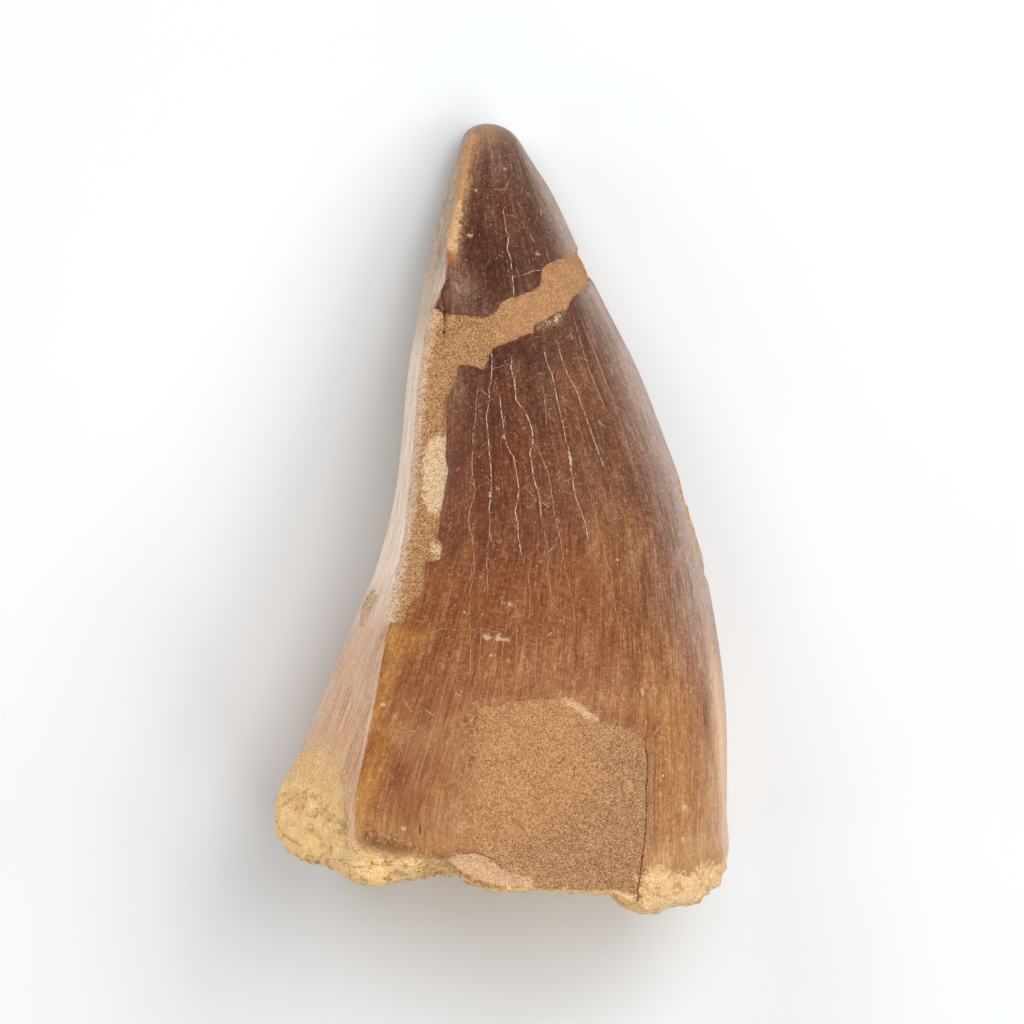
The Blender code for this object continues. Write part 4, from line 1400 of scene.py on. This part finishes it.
class SkinMaterial:
    """The material of the tooth's skin: enamel first, then what covers it, layer by layer."""

    def __init__(self, sizes, colours, grit):
        self.shades = {name: getattr(colours, name) for name in colours.__annotations__}
        self.grit = grit
        self.half_crack = sizes.crack / MM / 2
        self.material, self.tree, self.shader = new_material("fossil_tooth_skin")
        self.covers = {}
        self.make_noises()
        self.make_masks()
        surface = self.cracked(self.stained(self.weathered(self.enamel())))
        feed(self.tree, self.shader.inputs["Base Color"], surface)
        self.finish()

    def make_noises(self):
        """Places on the tooth, and the noises that the layers share, by name."""
        tree = self.tree
        self.solid = in_millimetres(tree)
        self.across = split(tree, self.solid)[0]
        strands = put(tree, "ShaderNodeUVMap", uv_map="meridians")[0]
        self.turned, self.along = split(tree, strands)[:2]
        self.maps = {}
        for name, settings in SOLID_NOISES.items():
            self.maps[name] = grainy(tree, self.solid, *settings)
        for name, (round_way, lengthwise, *settings) in STRAND_NOISES.items():
            drawn_out = scaled(tree, strands, (round_way, lengthwise, 1))
            self.maps[name] = grainy(tree, drawn_out, 1.0, *settings)
        self.wobble = minus(tree, self.maps["edge"], MEAN)
        self.finest = minus(tree, self.maps["grain"], MEAN)
        self.uneven = total(tree, self.wobble, self.prickle("uneven"))
        self.maps["speckled"] = total(tree, self.maps["edge"], self.prickle("speckled"))

    def prickle(self, name):
        """The finest noise, as strong as a named part has it."""
        return times(self.tree, self.finest, PRICKLE[name])

    def ragged(self, name, unevenness):
        """The distance inside an outline, made uneven by the noise."""
        return total(self.tree, field(self.tree, name), times(self.tree, self.uneven, unevenness))

    def region(self, name, softness, unevenness):
        """1 inside an outline, with a soft uneven edge."""
        inwards = self.ragged(name, unevenness)
        return span(self.tree, inwards, times(self.tree, softness, -1.0), softness)

    def lay(self, name, surface, shade, *amounts):
        """Lays a shade over a surface by the product of the amounts, at a named strength."""
        cover = times(self.tree, *amounts, STRENGTH[name])
        return mix(self.tree, cover, surface, self.shades[shade])

    def make_masks(self):
        """Stains, painted highlight and painted shade on the side facet by the keel, and the tip's
        streaks, the pale ones painted sheen.
        """
        tree, maps = self.tree, self.maps
        for name, edge in STAINS.items():
            maps[name] = self.region(name, *edge)
        past_keel, low = field(tree, "beyond"), step(tree, "low_facet", self.along)
        # Painted highlight along the left keel, low on the side facet
        maps["keel_highlight"] = times(
            tree, step(tree, "keel_highlight", past_keel), low, step(tree, "keel_highlight_foot", self.along),
            step(tree, "keel_rim_gaps", maps["speckled"]),
        )
        # Painted shade on the side facet beside the keel
        maps["keel_shade"] = times(tree, step(tree, "keel_shade", past_keel), low)
        tip = step(tree, "tip", self.along)
        maps["tip_dark"] = times(tree, tip, step(tree, "tip_dark", maps["hair"]))
        # Pale streaks of painted sheen at the tip
        maps["tip_sheen"] = times(tree, tip, step(tree, "tip_sheen", maps["stroke"]))

    def enamel(self):
        """Enamel: soft tones, darker and redder in places, fine lines down it, and painted shade in
        wrinkles.
        """
        tree, maps, shades = self.tree, self.maps, self.shades
        facet = marked(tree, painted(tree, "facet_tone"), FACET_MARKS, maps, shades)
        tone = mix(tree, maps["beyond"], painted(tree, "tone"), facet)
        tone = self.lay("olive", tone, "ochre", maps["olive"])
        mottled = step(tree, "mottled", maps["speckled"])
        mottled = mix(tree, mottled, shades["rust"], shades["tan"])
        tone = mix(tree, times(tree, maps["mottle"], STRENGTH["mottle"]), tone, mottled)
        # A gamma above 1 makes the tone both darker and redder, as in translucent enamel
        depth = total(tree, 1.0, *(
            times(tree, minus(tree, maps[name], MEAN), weight)
            for name, weight in ENAMEL_DEPTH.items()
        ))
        tone = put(tree, "ShaderNodeGamma", {"Color": tone, "Gamma": depth})[0]
        return self.dusted_and_glinted(self.shaded_in_wrinkles(tone))

    def shaded_in_wrinkles(self, enamel):
        """Painted shade in the wrinkles' grooves down the convex side and the underside, along a
        noise's mean.
        """
        tree, maps = self.tree, self.maps
        ridge = calc(tree, "ABSOLUTE", minus(tree, maps["contour"], MEAN))
        convex = step(tree, "convex", self.turned), step(tree, "convex_foot", self.along)
        places = greatest(tree, times(tree, *convex), step(tree, "underside", self.turned))
        clouds = step(tree, "wrinkle_clouds", maps["cloud"])
        wrinkle_shade = step(tree, "wrinkle_shade", ridge)
        return self.lay("wrinkle_shade", enamel, "crevice_and_shade", wrinkle_shade, places, clouds)

    def dusted_and_glinted(self, enamel):
        """Fine pale specks, in clouds: dust, and painted glints."""
        specks = step(self.tree, "specks", cells(self.tree, self.solid, SPECK_CELLS)["Distance"])
        clouds = step(self.tree, "speck_clouds", self.maps["cloud"])
        return self.lay("specks", enamel, "hairline", specks, clouds)

    def coat(self, cover, shades):
        """Lays a surface's three shades over the body, the dark grains and the pale grains."""
        self.layers = [
            mix(self.tree, cover, under, self.shades[shade])
            for under, shade in zip(self.layers, shades)
        ]

    def weathered(self, enamel):
        """The surfaces that cover the enamel. Their grains are made once for all of them."""
        tree = self.tree
        self.layers = [enamel] * 3
        for name, softness, unevenness, *shades in SURFACES:
            if name == "bare":
                # Its left edge is soft, where thin enamel still covers it
                soft = step(tree, "bare_left", self.across)
                softness, unevenness = times(tree, soft, softness), times(tree, soft, unevenness)
            cover = self.region(name, softness, unevenness)
            if name in WITHIN:
                cover = times(tree, cover, self.covers[WITHIN[name]])
            self.covers[name] = cover
            self.coat(cover, shades)
            if name == "sand":
                # It turns pale where it reaches over the side facet, partly as painted sheen
                past_keel = self.ragged("beyond", UNEVEN["pale_and_sheen"])
                pale_and_sheen = times(tree, cover, step(tree, "pale_and_sheen", past_keel))
                self.coat(pale_and_sheen, ("facet_pale_and_sheen", "sand", "chip"))
        inner = field(tree, "broken")
        self.broken = step(tree, "crusty", inner)
        self.coat(self.broken, ("crust", "crust_deep", "crust_light"))
        stone = step(tree, "stone", total(tree, inner, self.wobble))
        self.coat(stone, ("matrix", "sand_dark", "chip"))
        grains = put_grit(tree, self.grit, self.solid, *self.layers)
        self.bumps = grains["Height"]
        # The enamel shows through where nothing covers it
        self.rough = step(tree, "rough", self.ragged("rough", UNEVEN["rough"]))
        covered = step(tree, "covered", greatest(tree, *self.covers.values()))
        return mix(tree, greatest(tree, self.rough, covered), enamel, grains["Colour"])

    def stained(self, surface):
        """The crust's ochre hollows, the rusty seams between its layers, and the stains."""
        tree, maps = self.tree, self.maps
        crusty = greatest(tree, self.covers["crust"], self.broken)
        hollows = total(tree, maps["lumps"], times(tree, self.wobble, HOLLOW_WOBBLE))
        smooth = times(tree, self.covers["smooth_crust"], STRENGTH["smooth_crust"])
        hollows = step(tree, "hollows", hollows), flipped(tree, smooth)
        surface = self.lay("hollows", surface, "crust_ochre", crusty, *hollows)
        # The crust's layers lie one above another along the broken edge
        level = field(tree, "above")
        bends = times(tree, level, SEAMS), times(tree, maps["lumps"], SEAM_BEND), maps["edge"]
        seams = calc(tree, "PINGPONG", total(tree, *bends), 1.0)
        seams = (
            step(tree, "seams", seams), crusty, step(tree, "seam_rise", level),
            step(tree, "seam_clouds", maps["cloud"]), step(tree, "seam_side", self.across),
        )
        surface = self.lay("seams", surface, "wear_red", *seams)
        surface = self.lay("stain", surface, "umber", maps["stain"])
        return self.lay("rust", surface, "wear_red", maps["rust"])

    def lines(self, names, width, breakup, shift):
        return greatest(self.tree, *(
            line_mask(self.tree, name, width, breakup, shift) for name in names
        ))

    def cracked(self, surface):
        """Pale hairlines with a shaded side, then scratches, dust and spots, then dark cracks."""
        tree, maps = self.tree, self.maps
        breakup = step(tree, "breakup", maps["edge"])
        jitter = total(
            tree, times(tree, self.wobble, CRACK_WOBBLE), times(tree, self.finest, CRACK_PRICKLE)
        )
        # The hairlines end at the sand
        sand = times(tree, self.covers["sand"], flipped(tree, self.covers["chip"]))
        off_sand = flipped(tree, sand)
        # A painted shadow beside each hairline first, then its pale dust
        for part, shade, shift in (("shadow", "crevice_and_shade", SHADOW_SHIFT), ("hairline", "hairline", 0.0)):
            moved = total(tree, jitter, shift)
            line = self.lines(("crack", "side_crack"), self.half_crack, breakup, moved)
            surface = self.lay(part, surface, shade, line, off_sand)
        scratch = line_mask(tree, "scratch", self.half_crack, 1.0, self.prickle("scratch"))
        dusty = total(tree, field(tree, "dusty_gap"), self.prickle("dusty"))
        spots = step(tree, "spots", self.ragged("spots", UNEVEN["spots"]))
        dust = greatest(
            tree, times(tree, scratch, STRENGTH["scratch"]), step(tree, "dusty", dusty),
            times(tree, spots, STRENGTH["spots"]),
        )
        surface = mix(tree, dust, surface, self.shades["hairline"])
        dashes = step(tree, "dashes", maps["speckled"])
        dark = self.lines(("dark", "side_dark"), self.half_crack * DARK_WIDTH, dashes, jitter)
        return self.lay("dark", surface, "crevice_and_shade", dark)

    def finish(self):
        """Gloss and the finest relief: satin enamel, and dry sand and crust."""
        tree, maps, inputs = self.tree, self.maps, self.shader.inputs
        satin = step(tree, "satin", maps["stroke"])
        feed(tree, inputs["Roughness"], mix_values(tree, self.rough, satin, DRY))
        feed(tree, inputs["Specular IOR Level"], SHEEN)
        enamel = total(tree, *(
            times(tree, maps[name], height) for name, height in ENAMEL_HEIGHT.items()
        ))
        crusty = greatest(tree, step(tree, "crusty", field(tree, "crust")), self.broken)
        grit = total(tree, *(
            times(tree, bumps, total(tree, times(tree, crusty, on_crust), everywhere))
            for bumps, (everywhere, on_crust) in zip((self.bumps, maps["edge"]), GRIT_RELIEF)
        ))
        height = mix_values(tree, self.rough, enamel, grit)
        relief = put(tree, "ShaderNodeBump", {"Strength": 1.0, "Distance": MM, "Height": height})
        feed(tree, inputs["Normal"], relief[0])


def crumb_material(colours, grit):
    material, tree, shader = new_material("loose_grains")
    tone = painted(tree, "tone")
    grains = put_grit(tree, grit, in_millimetres(tree), tone, colours.crust_deep, tone)
    feed(tree, shader.inputs["Base Color"], grains["Colour"])
    feed(tree, shader.inputs["Roughness"], DRY)
    return material


def floor_material(shade):
    material, tree, shader = new_material("pale_floor")
    feed(tree, shader.inputs["Base Color"], shade)
    feed(tree, shader.inputs["Roughness"], FLOOR_ROUGHNESS)
    feed(tree, shader.inputs["Specular IOR Level"], FLOOR_SHEEN)
    return material


def dress(obj, material):
    obj.data.materials.clear()
    obj.data.materials.append(material)


def show(name, data):
    obj = bpy.data.objects.new(name, data)
    bpy.context.scene.collection.objects.link(obj)
    return obj


def attach(obj):
    """Makes a piece part of the tooth."""
    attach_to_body(obj, "root")
    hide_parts(NODE)


def shared_grit():
    return bpy.data.node_groups.get("Cemented grit") or grit_group()


class FOSSIL_OT_stage(bpy.types.Operator):
    """Set up the pale floor, the tent of soft lights and the camera that looks straight down"""
    bl_idname = "fossil.stage"
    bl_label = "Set Up Studio"

    def execute(self, context):
        studio = context.scene.fossil_studio
        floor = show("pale_floor", grid_mesh("pale_floor", FLOOR_GRID, FLOOR_GRID, FLOOR_REACH))
        floor.location.z = SOLID_BOX[0][2] - FLOOR_GAP
        dress(floor, floor_material(studio.floor))
        for name, around, up, watts in LAMPS:
            self.light(name, math.radians(around), math.radians(up), watts * studio.power, studio)
        world = bpy.data.worlds.new("white_surround")
        world.use_nodes = True
        context.scene.world = world
        background = world.node_tree.nodes["Background"]
        background.inputs["Color"].default_value = (1, 1, 1, 1)
        background.inputs["Strength"].default_value = studio.surround

        camera = bpy.data.cameras.new("camera")
        camera.lens = studio.lens
        view = show("camera", camera)
        # Far enough away for the picture to span its size on the tooth
        across = PICTURE * PIXEL * MM
        distance = across * studio.lens / camera.sensor_width
        middle = (PICTURE / 2 - MIDDLE[0]) * PIXEL * MM, (MIDDLE[1] - PICTURE / 2) * PIXEL * MM
        view.location = (*middle, distance + TRUE_HEIGHT * THICKNESS * MM)
        context.scene.camera = view
        context.scene.view_settings.view_transform = "Standard"
        return {"FINISHED"}

    @staticmethod
    def light(name, around, up, watts, studio):
        """A round soft light at a direction round the tooth, aimed at it."""
        lamp = bpy.data.lights.new(name, "AREA")
        lamp.shape = "DISK"
        lamp.size = studio.lamp
        lamp.energy = watts
        way = Vector((math.cos(up) * math.cos(around), math.cos(up) * math.sin(around), math.sin(up)))
        obj = show(name, lamp)
        obj.location = way * studio.reach
        obj.rotation_euler = way.to_track_quat("Z", "Y").to_euler()


class FOSSIL_OT_tooth(bpy.types.Operator):
    """Build the tooth's skin, with its enamel, repair, dentine and broken base"""
    bl_idname = "fossil.tooth"
    bl_label = "Build Tooth"

    def execute(self, context):
        sizes, colours = context.scene.fossil_sizes, context.scene.fossil_colours
        tooth = show("tooth_skin", build_skin("tooth_skin", sizes, colours))
        dress(tooth, SkinMaterial(sizes, colours, shared_grit()).material)
        attach(tooth)
        return {"FINISHED"}


class FOSSIL_OT_crumbs(bpy.types.Operator):
    """Scatter loose grains over the crust, the broken base and the repair"""
    bl_idname = "fossil.crumbs"
    bl_label = "Scatter Crumbs"

    def execute(self, context):
        sizes, colours = context.scene.fossil_sizes, context.scene.fossil_colours
        tooth = bpy.data.meshes["tooth_skin"]
        crumbs = show("crumbs", build_crumbs("crumbs", tooth, sizes, colours))
        dress(crumbs, crumb_material(colours, shared_grit()))
        attach(crumbs)
        return {"FINISHED"}


class FOSSIL_PT_panel(bpy.types.Panel):
    bl_label = "Fossil Tooth"
    bl_idname = "FOSSIL_PT_panel"
    bl_space_type = "VIEW_3D"
    bl_region_type = "UI"
    bl_category = "Fossil"

    def draw(self, context):
        for operator in OPERATORS:
            self.layout.operator(operator.bl_idname)
        for settings in (context.scene.fossil_sizes, context.scene.fossil_colours,
                         context.scene.fossil_studio):
            box = self.layout.box()
            for key in settings.__annotations__:
                box.prop(settings, key)


OPERATORS = (FOSSIL_OT_stage, FOSSIL_OT_tooth, FOSSIL_OT_crumbs)
CLASSES = (ToothSizes, ToothColours, StudioSettings, *OPERATORS, FOSSIL_PT_panel)


def register():
    for entry in CLASSES:
        bpy.utils.register_class(entry)
    bpy.types.Scene.fossil_sizes = bpy.props.PointerProperty(type=ToothSizes)
    bpy.types.Scene.fossil_colours = bpy.props.PointerProperty(type=ToothColours)
    bpy.types.Scene.fossil_studio = bpy.props.PointerProperty(type=StudioSettings)


def unregister():
    del bpy.types.Scene.fossil_sizes
    del bpy.types.Scene.fossil_colours
    del bpy.types.Scene.fossil_studio
    for entry in reversed(CLASSES):
        bpy.utils.unregister_class(entry)


def main():
    register()
    bpy.ops.fossil.stage()
    bpy.ops.fossil.tooth()
    bpy.ops.fossil.crumbs()


if __name__ == "__main__":
    main()
